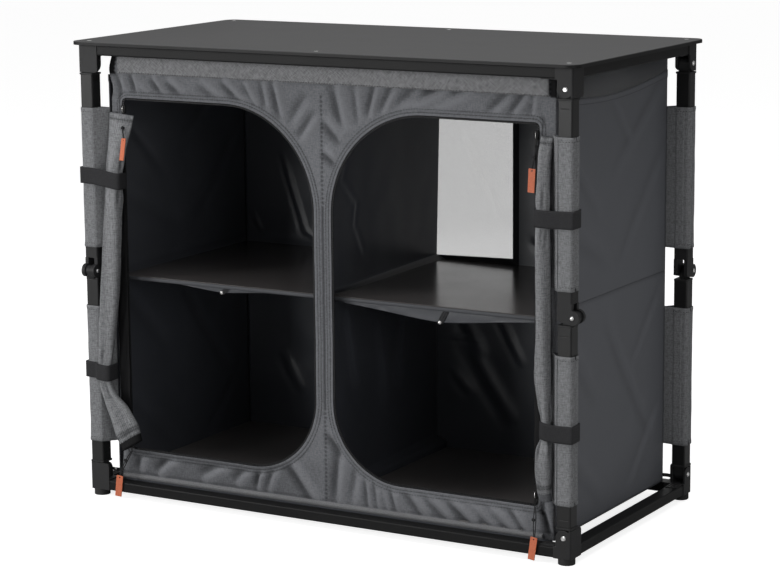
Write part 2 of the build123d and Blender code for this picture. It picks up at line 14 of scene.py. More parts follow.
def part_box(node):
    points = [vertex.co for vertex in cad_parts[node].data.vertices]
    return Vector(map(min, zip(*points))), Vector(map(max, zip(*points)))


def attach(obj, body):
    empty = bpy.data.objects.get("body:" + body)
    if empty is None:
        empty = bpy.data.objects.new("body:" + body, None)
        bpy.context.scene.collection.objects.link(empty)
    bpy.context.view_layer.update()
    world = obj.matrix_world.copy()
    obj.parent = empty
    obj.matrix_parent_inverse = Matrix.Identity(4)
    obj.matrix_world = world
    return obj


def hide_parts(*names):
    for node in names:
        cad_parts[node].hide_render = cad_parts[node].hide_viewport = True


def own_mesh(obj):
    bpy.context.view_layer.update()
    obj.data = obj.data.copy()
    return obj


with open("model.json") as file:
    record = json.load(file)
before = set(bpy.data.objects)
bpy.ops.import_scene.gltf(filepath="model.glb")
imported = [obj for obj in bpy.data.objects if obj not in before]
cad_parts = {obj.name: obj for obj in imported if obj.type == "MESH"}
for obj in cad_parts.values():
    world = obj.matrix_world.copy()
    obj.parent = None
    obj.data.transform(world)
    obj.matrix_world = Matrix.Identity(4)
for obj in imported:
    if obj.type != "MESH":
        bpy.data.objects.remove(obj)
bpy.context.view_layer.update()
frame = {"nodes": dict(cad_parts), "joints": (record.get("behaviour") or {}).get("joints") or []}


# Camera: it stands in front of the right corner, a little above the table top, and looks slightly down. Its
# place and lens were fitted to the corners and edges of the cupboard's frame.
photo_width = 780
focal_length_in_pixels = 2575.8
camera_place = Vector((2.1974, -3.7859, 1.1934))
camera_azimuth = math.radians(30.08)
camera_drop = math.radians(10.74)
camera_roll = math.radians(-0.48)

ahead = Vector((
    -math.sin(camera_azimuth) * math.cos(camera_drop),
    math.cos(camera_azimuth) * math.cos(camera_drop),
    -math.sin(camera_drop),
))
level = Vector((math.cos(camera_azimuth), math.sin(camera_azimuth), 0))
upright = level.cross(ahead)
camera_x = level * math.cos(camera_roll) + upright * math.sin(camera_roll)
camera_y = upright * math.cos(camera_roll) - level * math.sin(camera_roll)

camera = bpy.data.objects.new("camera", bpy.data.cameras.new("camera"))
camera.data.lens = focal_length_in_pixels * camera.data.sensor_width / photo_width
camera_axes = Matrix((camera_x, camera_y, -ahead)).transposed().to_4x4()
camera.matrix_world = Matrix.Translation(camera_place) @ camera_axes
bpy.context.collection.objects.link(camera)
bpy.context.scene.camera = camera
bpy.context.scene.view_settings.view_transform = "Standard"


# Studio: a pale floor that keeps the shadow, a white surround, and five soft boxes. The key stands on the left,
# one hangs overhead, and three weaker ones stand in front, on the right and behind.
def add_node(tree, kind, inputs=None, **settings):
    """A shader node with its settings, and with each input set to a value or linked from a socket."""
    node = tree.nodes.new("ShaderNode" + kind)
    for name, value in settings.items():
        setattr(node, name, value)
    for name, value in (inputs or {}).items():
        if isinstance(value, bpy.types.NodeSocket):
            tree.links.new(value, node.inputs[name])
        else:
            node.inputs[name].default_value = value
    return node


def reckon(tree, operation, *values):
    """The result of one sum on numbers or sockets."""
    return add_node(tree, "Math", dict(enumerate(values)), operation=operation).outputs[0]


def seen_directly(tree):
    """1 for what the camera sees, also through the netting, and 0 for light that falls on the object."""
    path = add_node(tree, "LightPath").outputs
    return reckon(tree, "MAXIMUM", path["Is Camera Ray"], path["Is Transmission Ray"])


def new_material(name, constants):
    """A material with its shader's plain values set on the shader's own sockets."""
    material = bpy.data.materials.new(name)
    material.use_nodes = True
    shader = material.node_tree.nodes["Principled BSDF"]
    for label, value in constants.items():
        shader.inputs[label].default_value = value
    return material, material.node_tree, shader


floor_reach = 30.0
floor_glow = 0.84
surround_level = 0.26
world = bpy.data.worlds.new("surround")
world.use_nodes = True
bpy.context.scene.world = world
background = world.node_tree.nodes["Background"]
background.inputs["Color"].default_value = (1, 1, 1, 1)
brightness = reckon(world.node_tree, "MULTIPLY", seen_directly(world.node_tree), 1 - surround_level)
brightness = reckon(world.node_tree, "ADD", brightness, surround_level)
world.node_tree.links.new(brightness, background.inputs["Strength"])

floor_paint, tree, shader = new_material(
    "floor_paint", {"Base Color": (0.5, 0.5, 0.5, 1), "Roughness": 0.9, "Specular IOR Level": 0.1,
                    "Emission Color": (1, 1, 1, 1)})
tree.links.new(reckon(tree, "MULTIPLY", seen_directly(tree), floor_glow), shader.inputs["Emission Strength"])

floor_mesh = bpy.data.meshes.new("floor")
floor_corners = [(-floor_reach, -floor_reach, 0), (floor_reach, -floor_reach, 0),
                 (floor_reach, floor_reach, 0), (-floor_reach, floor_reach, 0)]
floor_mesh.from_pydata(floor_corners, [], [(0, 1, 2, 3)])
floor_mesh.materials.append(floor_paint)
floor = bpy.data.objects.new("floor", floor_mesh)
bpy.context.collection.objects.link(floor)

# Each soft box: its place, its width and height, and its power
soft_boxes = {
    "key": ((-3.0, -3.4, 1.5), 1.3, 1.3, 79),
    "front": ((-1.06, -3.6, 0.75), 0.45, 1.3, 17),
    "fill": ((3.4, -2.6, 1.4), 1.3, 1.3, 14),
    "overhead": ((0.3, -0.6, 3.6), 2.4, 2.4, 66),
    "backdrop": ((-1.25, 2.6, 0.72), 1.3, 0.4, 3.2),
}
aim = Vector((0, 0, 0.4))
for name, (place, width, height, power) in soft_boxes.items():
    lamp = bpy.data.lights.new(name, "AREA")
    lamp.shape = "RECTANGLE"
    lamp.size = width
    lamp.size_y = height
    lamp.energy = power
    box = bpy.data.objects.new(name, lamp)
    box.location = place
    box.visible_camera = False
    box.rotation_euler = (aim - Vector(place)).to_track_quat("-Z", "Y").to_euler()
    bpy.context.collection.objects.link(box)


# Leg tubes and rails: square legs and flat rails of thin steel tube, powder coated in satin black and
# slightly rubbed on their edges. The legs have the glossier coat. The rails are pushed on the corner
# brackets' spigots.
corners = ("front_right", "rear_right", "rear_left", "front_left")
leg_halves = [f"{corner}_{half}" for corner in corners for half in ("lower", "upper")]
rails = [f"{frame_level}_{side}_rail" for frame_level in ("top", "bottom")
         for side in ("front", "right", "rear", "left")]


def effect_group(name, inputs, outputs):
    """An empty node group, with the sockets of its input and output nodes."""
    group = bpy.data.node_groups.new(name, "ShaderNodeTree")
    for label, kind, start in inputs:
        socket = group.interface.new_socket(label, in_out="INPUT", socket_type="NodeSocket" + kind)
        if start is not None:
            socket.default_value = start
    for label, kind in outputs:
        group.interface.new_socket(label, in_out="OUTPUT", socket_type="NodeSocket" + kind)
    return group, group.nodes.new("NodeGroupInput").outputs, group.nodes.new("NodeGroupOutput").inputs


# Rubbed edges: a rounded normal, and a mask that is 1 on an edge and broken up along it
rubbed_edge, rub_in, rub_out = effect_group(
    "rubbed_edge", [("Radius", "Float", 0.001), ("Patches", "Float", 40.0)],
    [("Mask", "Float"), ("Normal", "Vector")])
rounded = add_node(rubbed_edge, "Bevel", {"Radius": rub_in["Radius"]}, samples=6).outputs["Normal"]
face_normal = add_node(rubbed_edge, "NewGeometry").outputs["Normal"]
bend = add_node(
    rubbed_edge, "VectorMath", {0: rounded, 1: face_normal}, operation="DOT_PRODUCT").outputs["Value"]
on_edge = add_node(rubbed_edge, "MapRange", {"Value": bend, "From Min": 0.99, "From Max": 0.80})
edge_place = add_node(rubbed_edge, "TexCoord").outputs["Object"]
patches = add_node(
    rubbed_edge, "TexNoise", {"Vector": edge_place, "Scale": rub_in["Patches"], "Detail": 3.0}).outputs["Fac"]
broken = add_node(rubbed_edge, "MapRange", {"Value": patches, "From Min": 0.42, "From Max": 0.62})
rubbed = reckon(rubbed_edge, "MULTIPLY", on_edge.outputs["Result"], broken.outputs["Result"])
rubbed_edge.links.new(rubbed, rub_out["Mask"])
rubbed_edge.links.new(rounded, rub_out["Normal"])

# Grain: a fine height for a moulded or coated surface, and a slow change of tone over it
grain, grain_in, grain_out = effect_group(
    "grain", [("Fine", "Float", 900.0), ("Slow", "Float", 9.0)], [("Height", "Float"), ("Tone", "Float")])
grain_place = add_node(grain, "TexCoord").outputs["Object"]
fine = add_node(grain, "TexNoise", {"Vector": grain_place, "Scale": grain_in["Fine"], "Detail": 2.0})
slow = add_node(grain, "TexNoise", {"Vector": grain_place, "Scale": grain_in["Slow"], "Detail": 5.0})
grain.links.new(fine.outputs["Fac"], grain_out["Height"])
grain.links.new(slow.outputs["Fac"], grain_out["Tone"])


def mixed(tree, factor, dark, light):
    """The colour between a dark and a light one, at a factor from 0 to 1. Both may be colours or sockets."""
    ends = [end if isinstance(end, bpy.types.NodeSocket) else (*end, 1) for end in (dark, light)]
    # The mix node keeps its two colours in its sockets 6 and 7, and puts the result out of its third one
    return add_node(tree, "Mix", {"Factor": factor, 6: ends[0], 7: ends[1]}, data_type="RGBA").outputs[2]


def spread(tree, value, middle, reach):
    """A value from 0 to 1, moved to lie within reach of a middle."""
    ends = {"To Min": middle - reach, "To Max": middle + reach}
    return add_node(tree, "MapRange", {"Value": value, **ends}).outputs["Result"]


def hard_finish(name, dark, light, wear_and_painted_light, roughness, fine, bump, edge_radius, constants):
    """A hard surface that runs from a dark to a light tone, is rubbed to a worn tone on its edges, and has a
    grain of its own."""
    material, tree, shader = new_material(name, constants)
    texture = add_node(tree, "Group", {"Fine": fine}, node_tree=grain).outputs
    rub = add_node(tree, "Group", {"Radius": edge_radius}, node_tree=rubbed_edge).outputs
    colour = mixed(tree, rub["Mask"], mixed(tree, texture["Tone"], dark, light), wear_and_painted_light)
    relief = add_node(tree, "Bump", {"Height": texture["Height"], "Strength": bump, "Distance": 0.0003,
                                     "Normal": rub["Normal"]})
    tree.links.new(colour, shader.inputs["Base Color"])
    tree.links.new(spread(tree, texture["Tone"], roughness, 0.08), shader.inputs["Roughness"])
    tree.links.new(relief.outputs["Normal"], shader.inputs["Normal"])
    return material


def dress(names, material):
    """Gives rigid pieces of the frame and the boards their finish."""
    for name in names:
        for material_slot in frame["nodes"][name].material_slots:
            material_slot.material = material


powder_coat = hard_finish("powder_coat", dark=(0.004, 0.004, 0.0042), light=(0.009, 0.009, 0.0092),
                          wear_and_painted_light=(0.07, 0.07, 0.07), roughness=0.45, fine=1400.0, bump=0.25, edge_radius=0.0012,
                          constants={"Specular IOR Level": 0.2})
dress(rails, powder_coat)
leg_coat = hard_finish("leg_coat", dark=(0.005, 0.005, 0.0052), light=(0.011, 0.011, 0.0112),
                       wear_and_painted_light=(0.07, 0.07, 0.07), roughness=0.40, fine=1400.0, bump=0.2, edge_radius=0.0012,
                       constants={"Specular IOR Level": 0.42})
dress([f"{leg_half}_tube" for leg_half in leg_halves], leg_coat)


# Corner brackets, end plugs and knuckles: mouldings of glass-filled nylon with a fine grain. The brackets
# join the rails and carry the legs, and the plugs are pushed into the tubes' ends.
moulded_nylon = hard_finish("moulded_nylon", dark=(0.012, 0.012, 0.0125), light=(0.024, 0.024, 0.025),
                            wear_and_painted_light=(0.06, 0.06, 0.06), roughness=0.52, fine=2400.0, bump=0.4,
                            edge_radius=0.0014, constants={"Specular IOR Level": 0.3})
dress(["top_corner_brackets", "bottom_corner_brackets"], moulded_nylon)
dress([f"{leg_half}_plugs" for leg_half in leg_halves], moulded_nylon)


# Feet: four turned pads of soft black rubber, a little paler where their edges are rubbed. Each is held by
# a peg that is pushed into the bracket above it.
foot_rubber = hard_finish("foot_rubber", dark=(0.014, 0.014, 0.014), light=(0.03, 0.03, 0.03),
                          wear_and_painted_light=(0.06, 0.058, 0.055), roughness=0.68, fine=1500.0, bump=0.3, edge_radius=0.001,
                          constants={"Specular IOR Level": 0.35})
dress(["feet"], foot_rubber)


# Rivets and screws: the legs turn on aluminium rivets with bright, finely scratched heads, and countersunk
# screws hold the table top. The screws are plated with zinc, which has a dull film.
def bright_metal(name, colour, roughness, scratch, bare=1.0):
    """A bright metal whose gloss is broken by fine scratches in all directions. bare is 1 for clean metal and
    less under a dull film."""
    material, tree, shader = new_material(name, {"Base Color": (*colour, 1), "Metallic": bare})
    place = add_node(tree, "TexCoord").outputs["Object"]
    lines = add_node(tree, "TexNoise", {"Vector": place, "Scale": scratch, "Detail": 6.0, "Distortion": 1.5})
    gloss = add_node(tree, "MapRange", {"Value": lines.outputs["Fac"], "From Min": 0.3, "From Max": 0.7,
                                        "To Min": roughness - 0.1, "To Max": roughness + 0.12})
    relief = add_node(tree, "Bump", {"Height": lines.outputs["Fac"], "Strength": 0.15, "Distance": 0.0002})
    tree.links.new(gloss.outputs["Result"], shader.inputs["Roughness"])
    tree.links.new(relief.outputs["Normal"], shader.inputs["Normal"])
    return material


rivet_aluminium = bright_metal("rivet_aluminium", (0.86, 0.86, 0.85), 0.28, 700.0)
screw_zinc = bright_metal("screw_zinc", (0.90, 0.90, 0.88), 0.45, 900.0, bare=0.45)
dress(["top_pivot_rivets", "bottom_pivot_rivets"], rivet_aluminium)
dress(["table_top_screws"], screw_zinc)


# Table top: a fibreboard faced with matt charcoal laminate, its rim sanded and painted black. It is screwed
# down on the upper frame.
table_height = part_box("table_top")[1].z
rim_depth = 0.0012
laminate, tree, shader = new_material("laminate", {"Specular IOR Level": 0.3})
place = add_node(tree, "TexCoord").outputs["Object"]
pebble = add_node(tree, "TexNoise", {"Vector": place, "Scale": 1100.0, "Detail": 3.0}).outputs["Fac"]
cloud = add_node(tree, "TexNoise", {"Vector": place, "Scale": 5.0, "Detail": 6.0}).outputs["Fac"]
height = add_node(tree, "SeparateXYZ", {"Vector": place}).outputs["Z"]
facing = add_node(tree, "MapRange", {"Value": height, "From Min": table_height - rim_depth,
                                     "From Max": table_height - 0.3 * rim_depth})
speck = reckon(tree, "MULTIPLY_ADD", cloud, 0.6, reckon(tree, "MULTIPLY", pebble, 0.4))
face_colour = mixed(tree, speck, (0.052, 0.052, 0.053), (0.092, 0.092, 0.093))
colour = mixed(tree, facing.outputs["Result"], (0.006, 0.006, 0.0063), face_colour)
rub = add_node(tree, "Group", {"Radius": 0.001}, node_tree=rubbed_edge).outputs
relief = add_node(
    tree, "Bump", {"Height": pebble, "Strength": 0.25, "Distance": 0.0002, "Normal": rub["Normal"]})
tree.links.new(colour, shader.inputs["Base Color"])
tree.links.new(spread(tree, cloud, 0.51, 0.07), shader.inputs["Roughness"])
tree.links.new(relief.outputs["Normal"], shader.inputs["Normal"])
dress(["table_top"], laminate)


# Floor and shelf boards: thin fibreboard with a smooth black-brown foil on both faces. The floor boards have a
# # paler, less glossy copy of the foil, whose paler colour is painted light for the deep, shaded cabinet floor.
# # They lie loose, the upper pair in the slings and the lower pair on the cabinet's floor.
board_foil = hard_finish("board_foil", dark=(0.060, 0.054, 0.053), light=(0.086, 0.079, 0.077),
                         wear_and_painted_light=(0.09, 0.087, 0.085), roughness=0.22, fine=500.0, bump=0.08, edge_radius=0.0008,
                         constants={"Specular IOR Level": 0.6})
dress(["shelf_board_left", "shelf_board_right"], board_foil)
floor_foil_painted_light = hard_finish("floor_foil_painted_light", dark=(0.115, 0.105, 0.103), light=(0.155, 0.145, 0.142),
                         wear_and_painted_light=(0.17, 0.165, 0.16), roughness=0.34, fine=500.0, bump=0.08, edge_radius=0.0008,
                         constants={"Specular IOR Level": 0.6})
dress(["floor_board_left", "floor_board_right"], floor_foil_painted_light)


# Front panel: grey oxford cloth with a black coating inside, gathered where it is sewn round the two D-shaped
# doors. It reaches from the hem under the floor up behind the top rail.

# Weave: the height and tone of a plain weave, from a place on the flat cut in metres and a thread's width
weave, weave_in, weave_out = effect_group(
    "weave", [("Place", "Vector", None), ("Thread", "Float", 0.001), ("Slub", "Float", 1.0)],
    [("Height", "Float"), ("Tone", "Float")])
per_metre = reckon(weave, "DIVIDE", 1.0, weave_in["Thread"])
threads = add_node(
    weave, "VectorMath", {0: weave_in["Place"], "Scale": per_metre}, operation="SCALE").outputs[0]
counted = add_node(weave, "SeparateXYZ", {"Vector": threads}).outputs
warp = reckon(weave, "SINE", reckon(weave, "MULTIPLY", counted["X"], math.pi))
weft = reckon(weave, "SINE", reckon(weave, "MULTIPLY", counted["Y"], math.pi))
crossing = reckon(weave, "MULTIPLY", warp, weft)
on_top = add_node(weave, "MapRange", {"Value": crossing, "From Min": -0.25, "From Max": 0.25})
warp_height = reckon(weave, "ABSOLUTE", warp)
weft_height = reckon(weave, "ABSOLUTE", weft)
warp_rise = reckon(weave, "SUBTRACT", warp_height, weft_height)
thread_height = reckon(weave, "MULTIPLY_ADD", on_top.outputs["Result"], warp_rise, weft_height)
slubs = []
for stretch in ((0.22, 1.0, 1.0), (1.0, 0.22, 1.0)):
    drawn = add_node(weave, "VectorMath", {0: threads, 1: stretch}, operation="MULTIPLY").outputs[0]
    slubs.append(add_node(weave, "TexNoise", {"Vector": drawn, "Scale": 0.9, "Detail": 2.0}).outputs["Fac"])
slub = reckon(weave, "SUBTRACT", reckon(weave, "ADD", *slubs), 1.0)
tone = reckon(weave, "MULTIPLY_ADD", slub, weave_in["Slub"], reckon(weave, "MULTIPLY", thread_height, 0.9))
weave.links.new(thread_height, weave_out["Height"])
weave.links.new(tone, weave_out["Tone"])


def woven(name, dark, light, thread, slub, roughness, bump, constants):
    """A woven cloth between two thread colours. Its place on the flat cut comes with the piece, and so does a
    shade that paints shade into its seams and hollows and light onto its folds."""
    material, tree, shader = new_material(name, constants)
    cut_place = add_node(tree, "UVMap", uv_map="cut").outputs["UV"]
    cloth = add_node(
        tree, "Group", {"Place": cut_place, "Thread": thread, "Slub": slub}, node_tree=weave).outputs
    texture = add_node(tree, "Group", {"Fine": 60.0, "Slow": 7.0}, node_tree=grain).outputs
    fade = reckon(tree, "MULTIPLY_ADD", reckon(tree, "SUBTRACT", texture["Tone"], 0.5), 0.25, cloth["Tone"])
    # The shade attribute is painted light and shade: it lightens the folds and darkens seams, hollows and
    # corners towards black.
    wear_and_painted_light = add_node(tree, "Attribute", attribute_name="shade").outputs["Fac"]
    fade = reckon(tree, "MULTIPLY_ADD", wear_and_painted_light, 0.42, fade)
    out_of_painted_shade = reckon(tree, "MULTIPLY_ADD", reckon(tree, "MINIMUM", wear_and_painted_light, 0.0), 0.65, 1.0)
    colour = mixed(tree, out_of_painted_shade, (0.004, 0.004, 0.005), mixed(tree, fade, dark, light))
    relief = add_node(tree, "Bump", {"Height": cloth["Height"], "Strength": bump, "Distance": 0.4 * thread})
    tree.links.new(colour, shader.inputs["Base Color"])
    tree.links.new(spread(tree, texture["Tone"], roughness, 0.07), shader.inputs["Roughness"])
    tree.links.new(relief.outputs["Normal"], shader.inputs["Normal"])
    return material


front_cloth = woven("front_cloth", dark=(0.085, 0.088, 0.095), light=(0.215, 0.22, 0.235), thread=0.0015,
                    slub=1.0, roughness=0.8, bump=0.5, constants={"Specular IOR Level": 0.2})
lining = woven("lining", dark=(0.034, 0.037, 0.044), light=(0.070, 0.075, 0.088), thread=0.0007, slub=0.8,
               roughness=0.32, bump=0.12, constants={"Specular IOR Level": 0.6})


def sewn_piece(name, points, faces, cut, thickness, outside, inside, shade=None):
    """A sewn piece: its points, its faces, where each face corner lies on the flat cut, in metres, the
    materials of its two faces, and how light each point is."""
    mesh = bpy.data.meshes.new(name)
    mesh.from_pydata(points.tolist(), [], faces.tolist())
    mesh.uv_layers.new(name="cut").data.foreach_set("uv", np.ascontiguousarray(cut, dtype=np.float32).ravel())
    mesh.shade_smooth()
    if shade is not None:
        mesh.attributes.new("shade", "FLOAT", "POINT").data.foreach_set("value", np.float32(shade))
    mesh.materials.append(outside)
    mesh.materials.append(inside)
    piece = bpy.data.objects.new(name, mesh)
    bpy.context.collection.objects.link(piece)
    shell = piece.modifiers.new("thickness", "SOLIDIFY")
    shell.thickness = thickness
    shell.offset = -1
    shell.material_offset = 1
    return piece


def cut_cloth(name, loops, inner_points, kept, place, thickness, outside, inside, shade_at):
    """A panel cut along closed loops in its own plane, meshed with the given points and placed by a function.
    kept says which triangles, by their middles, belong to the panel."""
    flat = np.concatenate([*loops, inner_points])
    rims = []
    first = 0
    for loop in loops:
        rims += [(first + i, first + (i + 1) % len(loop)) for i in range(len(loop))]
        first += len(loop)
    result = delaunay_2d_cdt([Vector(p) for p in flat], rims, [], 0, 1e-6)
    flat = np.array([tuple(p) for p in result[0]])
    faces = np.array(result[2])
    middles = flat[faces].mean(axis=1)
    faces = faces[kept(middles[:, 0], middles[:, 1])]
    points = np.stack(place(flat[:, 0], flat[:, 1]), axis=1)
    shade = shade_at(flat[:, 0], flat[:, 1])
    return sewn_piece(name, points, faces, flat[faces.ravel()], thickness, outside, inside, shade)


def triangle_grid(low_x, high_x, low_z, high_z, step):
    """Points in staggered rows that fill a rectangle."""
    row_step = step * math.sqrt(3) / 2
    rows = []
    for i, z in enumerate(np.arange(low_z + row_step / 2, high_z - row_step / 3, row_step)):
        across = np.arange(low_x + step * (0.4 + 0.5 * (i % 2)), high_x - step / 3, step)
        rows.append(np.stack([across, np.full(len(across), z)], axis=1))
    return np.concatenate(rows)


def rectangle_loop(low_x, high_x, low_z, high_z, step):
    """Evenly spaced points round a rectangle, anticlockwise."""
    across = np.linspace(low_x, high_x, round((high_x - low_x) / step) + 1)
    up = np.linspace(low_z, high_z, round((high_z - low_z) / step) + 1)
    return np.concatenate([
        np.stack([across[:-1], np.full(len(across) - 1, low_z)], axis=1),
        np.stack([np.full(len(up) - 1, high_x), up[:-1]], axis=1),
        np.stack([across[:0:-1], np.full(len(across) - 1, high_z)], axis=1),
        np.stack([np.full(len(up) - 1, low_x), up[:0:-1]], axis=1),
    ])


def crumple(a, b, size, seed):
    """A smooth random height from -1 to 1 over a piece, with hollows about as wide as size."""
    heights = [noise.noise(Vector((u / size, v / size, seed))) for u, v in zip(a.ravel(), b.ravel())]
    return np.array(heights).reshape(a.shape)


def fold(a, b, start, end, width, height):
    """A soft fold from one point of a panel to another, which dies out at both ends and sits beside a dip."""
    run = np.array(end, float) - np.array(start, float)
    length = np.hypot(*run)
    along = ((a - start[0]) * run[0] + (b - start[1]) * run[1]) / length**2
    off = ((a - start[0]) * run[1] - (b - start[1]) * run[0]) / length / width
    swell = np.sin(np.pi * np.clip(0.1 + 0.8 * along, 0, 1)) ** 0.6 * ((along > -0.12) & (along < 1.12))
    return height * swell * (np.exp(-off**2) - 0.6 * np.exp(-((off - 1.7) ** 2)))


# The doors' D shape: square to the outside and round towards the middle
front_low, front_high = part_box("front_panel")
zip_low, zip_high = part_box("door_zips")
zip_width = 0.006
door_outer_edge = zip_high.x - zip_width
door_inner_edge = 0.020
door_bottom = zip_low.z + zip_width
door_top = zip_high.z - zip_width
door_radii = {"outer": 0.005, "inner_bottom": 0.125, "inner_top": 0.170}
door_middle = ((door_outer_edge + door_inner_edge) / 2, (door_bottom + door_top) / 2)


def door_gap(x, z):
    """How far a point of the front lies outside the nearer door's edge; less than 0 inside the door."""
    from_middle = np.abs(x) - door_middle[0]
    above = z - door_middle[1]
    inner_radius = np.where(above > 0, door_radii["inner_top"], door_radii["inner_bottom"])
    radius = np.where(from_middle < 0, inner_radius, door_radii["outer"])
    past_x = np.abs(from_middle) - (door_outer_edge - door_inner_edge) / 2 + radius
    past_z = np.abs(above) - (door_top - door_bottom) / 2 + radius
    outside = np.hypot(np.maximum(past_x, 0), np.maximum(past_z, 0))
    return outside + np.minimum(np.maximum(past_x, past_z), 0) - radius


def door_edge(side, grow, step=0.006):
    """Points round a door's edge, moved outward by grow. The same number at every grow."""
    bends = [(door_outer_edge, door_bottom, "outer", -90),
             (door_outer_edge, door_top, "outer", 0),
             (door_inner_edge, door_top, "inner_top", 90),
             (door_inner_edge, door_bottom, "inner_bottom", 180)]
    arcs = []
    for x, z, kind, first_angle in bends:
        radius = door_radii[kind]
        centre_x = x + math.copysign(radius, door_middle[0] - x)
        centre_z = z + math.copysign(radius, door_middle[1] - z)
        steps = max(4, round(radius * math.pi / 2 / step))
        angles = np.radians(np.linspace(first_angle, first_angle + 90, steps + 1))
        arcs.append(np.stack([centre_x + (radius + grow) * np.cos(angles),
                              centre_z + (radius + grow) * np.sin(angles)], axis=1))
    points = []
    for arc, following in zip(arcs, arcs[1:] + arcs[:1]):
        run = np.linspace(arc[-1], following[0], max(3, round(math.dist(arc[-1], following[0]) / step)))
        points += [arc, run[1:-1]]
    edge_points = np.concatenate(points)
    return edge_points if side > 0 else (edge_points * (-1, 1))[::-1]


rail_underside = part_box("top_front_rail")[0].z
band_bottom = rail_underside - 0.031
hem_top = front_low.z + 0.011
seam_x = 0.405
middle_seam_top = 0.729
# How far outside a door's edge its two rows of stitches run
door_stitch_lines = (0.0085, 0.0140)
# Gathers, each from one (x, z) to another with a width. Above the doors they run from the band to the door's
# edge and fan round its corner.
top_gathers = [
    ((-0.397, 0.742), (-0.395, 0.708), 0.0060), ((-0.370, 0.744), (-0.364, 0.711), 0.0060),
    ((-0.361, 0.734), (-0.348, 0.716), 0.0050), ((-0.332, 0.744), (-0.310, 0.718), 0.0060),
    ((-0.300, 0.742), (-0.270, 0.721), 0.0075), ((-0.234, 0.742), (-0.191, 0.715), 0.0080),
    ((-0.187, 0.745), (-0.144, 0.708), 0.0070), ((-0.146, 0.742), (-0.124, 0.707), 0.0060),
    ((-0.109, 0.743), (-0.101, 0.702), 0.0060), ((-0.086, 0.744), (-0.072, 0.690), 0.0070),
    ((-0.021, 0.716), (-0.050, 0.675), 0.0090), ((-0.006, 0.690), (-0.034, 0.650), 0.0080),
    ((0.035, 0.744), (0.052, 0.674), 0.0090), ((0.071, 0.743), (0.077, 0.689), 0.0060),
    ((0.109, 0.745), (0.096, 0.697), 0.0060), ((0.142, 0.742), (0.120, 0.702), 0.0065),
    ((0.188, 0.742), (0.147, 0.707), 0.0080), ((0.236, 0.742), (0.171, 0.713), 0.0085),
    ((0.278, 0.742), (0.209, 0.710), 0.0080), ((0.351, 0.738), (0.317, 0.709), 0.0075),
    ((0.379, 0.740), (0.354, 0.708), 0.0065), ((0.395, 0.743), (0.390, 0.708), 0.0050),
    ((0.012, 0.690), (0.042, 0.660), 0.0080), ((0.008, 0.640), (0.032, 0.622), 0.0070),
]
# Under the doors they run from the door's edge to the hem
bottom_gathers = [
    ((-0.367, 0.082), (-0.379, 0.045), 0.0075), ((-0.295, 0.083), (-0.338, 0.045), 0.0085),
    ((-0.191, 0.079), (-0.245, 0.048), 0.0090), ((-0.144, 0.081), (-0.177, 0.048), 0.0080),
    ((-0.121, 0.086), (-0.133, 0.045), 0.0060), ((-0.090, 0.098), (-0.111, 0.045), 0.0065),
    ((-0.071, 0.110), (-0.018, 0.043), 0.0085), ((0.037, 0.130), (0.030, 0.046), 0.0090),
    ((0.072, 0.108), (0.059, 0.046), 0.0080), ((0.082, 0.105), (0.088, 0.044), 0.0055),
    ((0.100, 0.096), (0.106, 0.045), 0.0060), ((0.112, 0.092), (0.123, 0.045), 0.0060),
    ((0.129, 0.090), (0.143, 0.045), 0.0065), ((0.160, 0.086), (0.194, 0.046), 0.0080),
    ((0.194, 0.082), (0.239, 0.046), 0.0080), ((0.242, 0.078), (0.284, 0.046), 0.0085),
    ((0.270, 0.080), (0.325, 0.043), 0.0080), ((0.311, 0.076), (0.358, 0.042), 0.0080),
    ((0.355, 0.078), (0.382, 0.043), 0.0070), ((-0.015, 0.170), (-0.046, 0.130), 0.0080),
    ((0.014, 0.165), (0.044, 0.130), 0.0080), ((0.407, 0.108), (0.425, 0.046), 0.0050),
    ((0.417, 0.106), (0.428, 0.050), 0.0050), ((-0.408, 0.104), (-0.414, 0.046), 0.0060),
]


def front_gathers(x, z):
    """The folds of the front panel, which fade out before they reach a door."""
    relief = np.zeros(np.broadcast(x, z).shape)
    for number, (start, end, width) in enumerate(top_gathers + bottom_gathers):
        height = 0.0044 + 0.0012 * math.sin(number * 2.3)
        relief = relief + fold(x, z, start, end, width, height)
    return relief * np.clip((door_gap(x, z) - 0.010) / 0.010, 0.05, 1)


def seam_lines(x, z):
    """1 on the seams and stitch lines of the front panel and 0 a little way off them."""
    gap = door_gap(x, z)
    near_row = np.exp(-((gap - door_stitch_lines[0]) / 0.0011) ** 2)
    far_row = np.exp(-((gap - door_stitch_lines[1]) / 0.0013) ** 2)
    middle_seam = np.exp(-(x / 0.0012) ** 2) * (gap > 0.012) * (z < middle_seam_top)
    side_seams = np.exp(-((np.abs(x) - seam_x) / 0.0012) ** 2) * (gap < 0.02)
    along_hem = np.exp(-((z - hem_top - 0.0005) / 0.0012) ** 2)
    along_band = np.exp(-((z - band_bottom + 0.001) / 0.0014) ** 2)
    return np.minimum(0.5 * (near_row + far_row) + middle_seam + side_seams + along_hem + along_band, 1)


def front_shade(x, z):
    """Painted light on the folds, and painted shade in the hollows beside them, along the seams, in the corners
    behind the legs and brackets, and low down near the floor, most on the left."""
    painted_shade_behind_bracket = 1.6 * ((x > 0.4165) | (x < -0.4095)) * (z > band_bottom)
    painted_shade_near_floor = 0.35 * np.clip((0.05 - x) / 0.15, 0, 1) * np.clip((0.12 - z) / 0.03, 0, 1)
    painted_shade_behind_leg = 0.7 * np.clip((x - 0.398) / 0.012, 0, 1) * np.clip((0.125 - z) / 0.02, 0, 1)
    return (np.clip(front_gathers(x, z) / 0.0036, -0.75, 0.85) - 0.8 * seam_lines(x, z)
            - painted_shade_behind_bracket - painted_shade_behind_leg - painted_shade_near_floor)


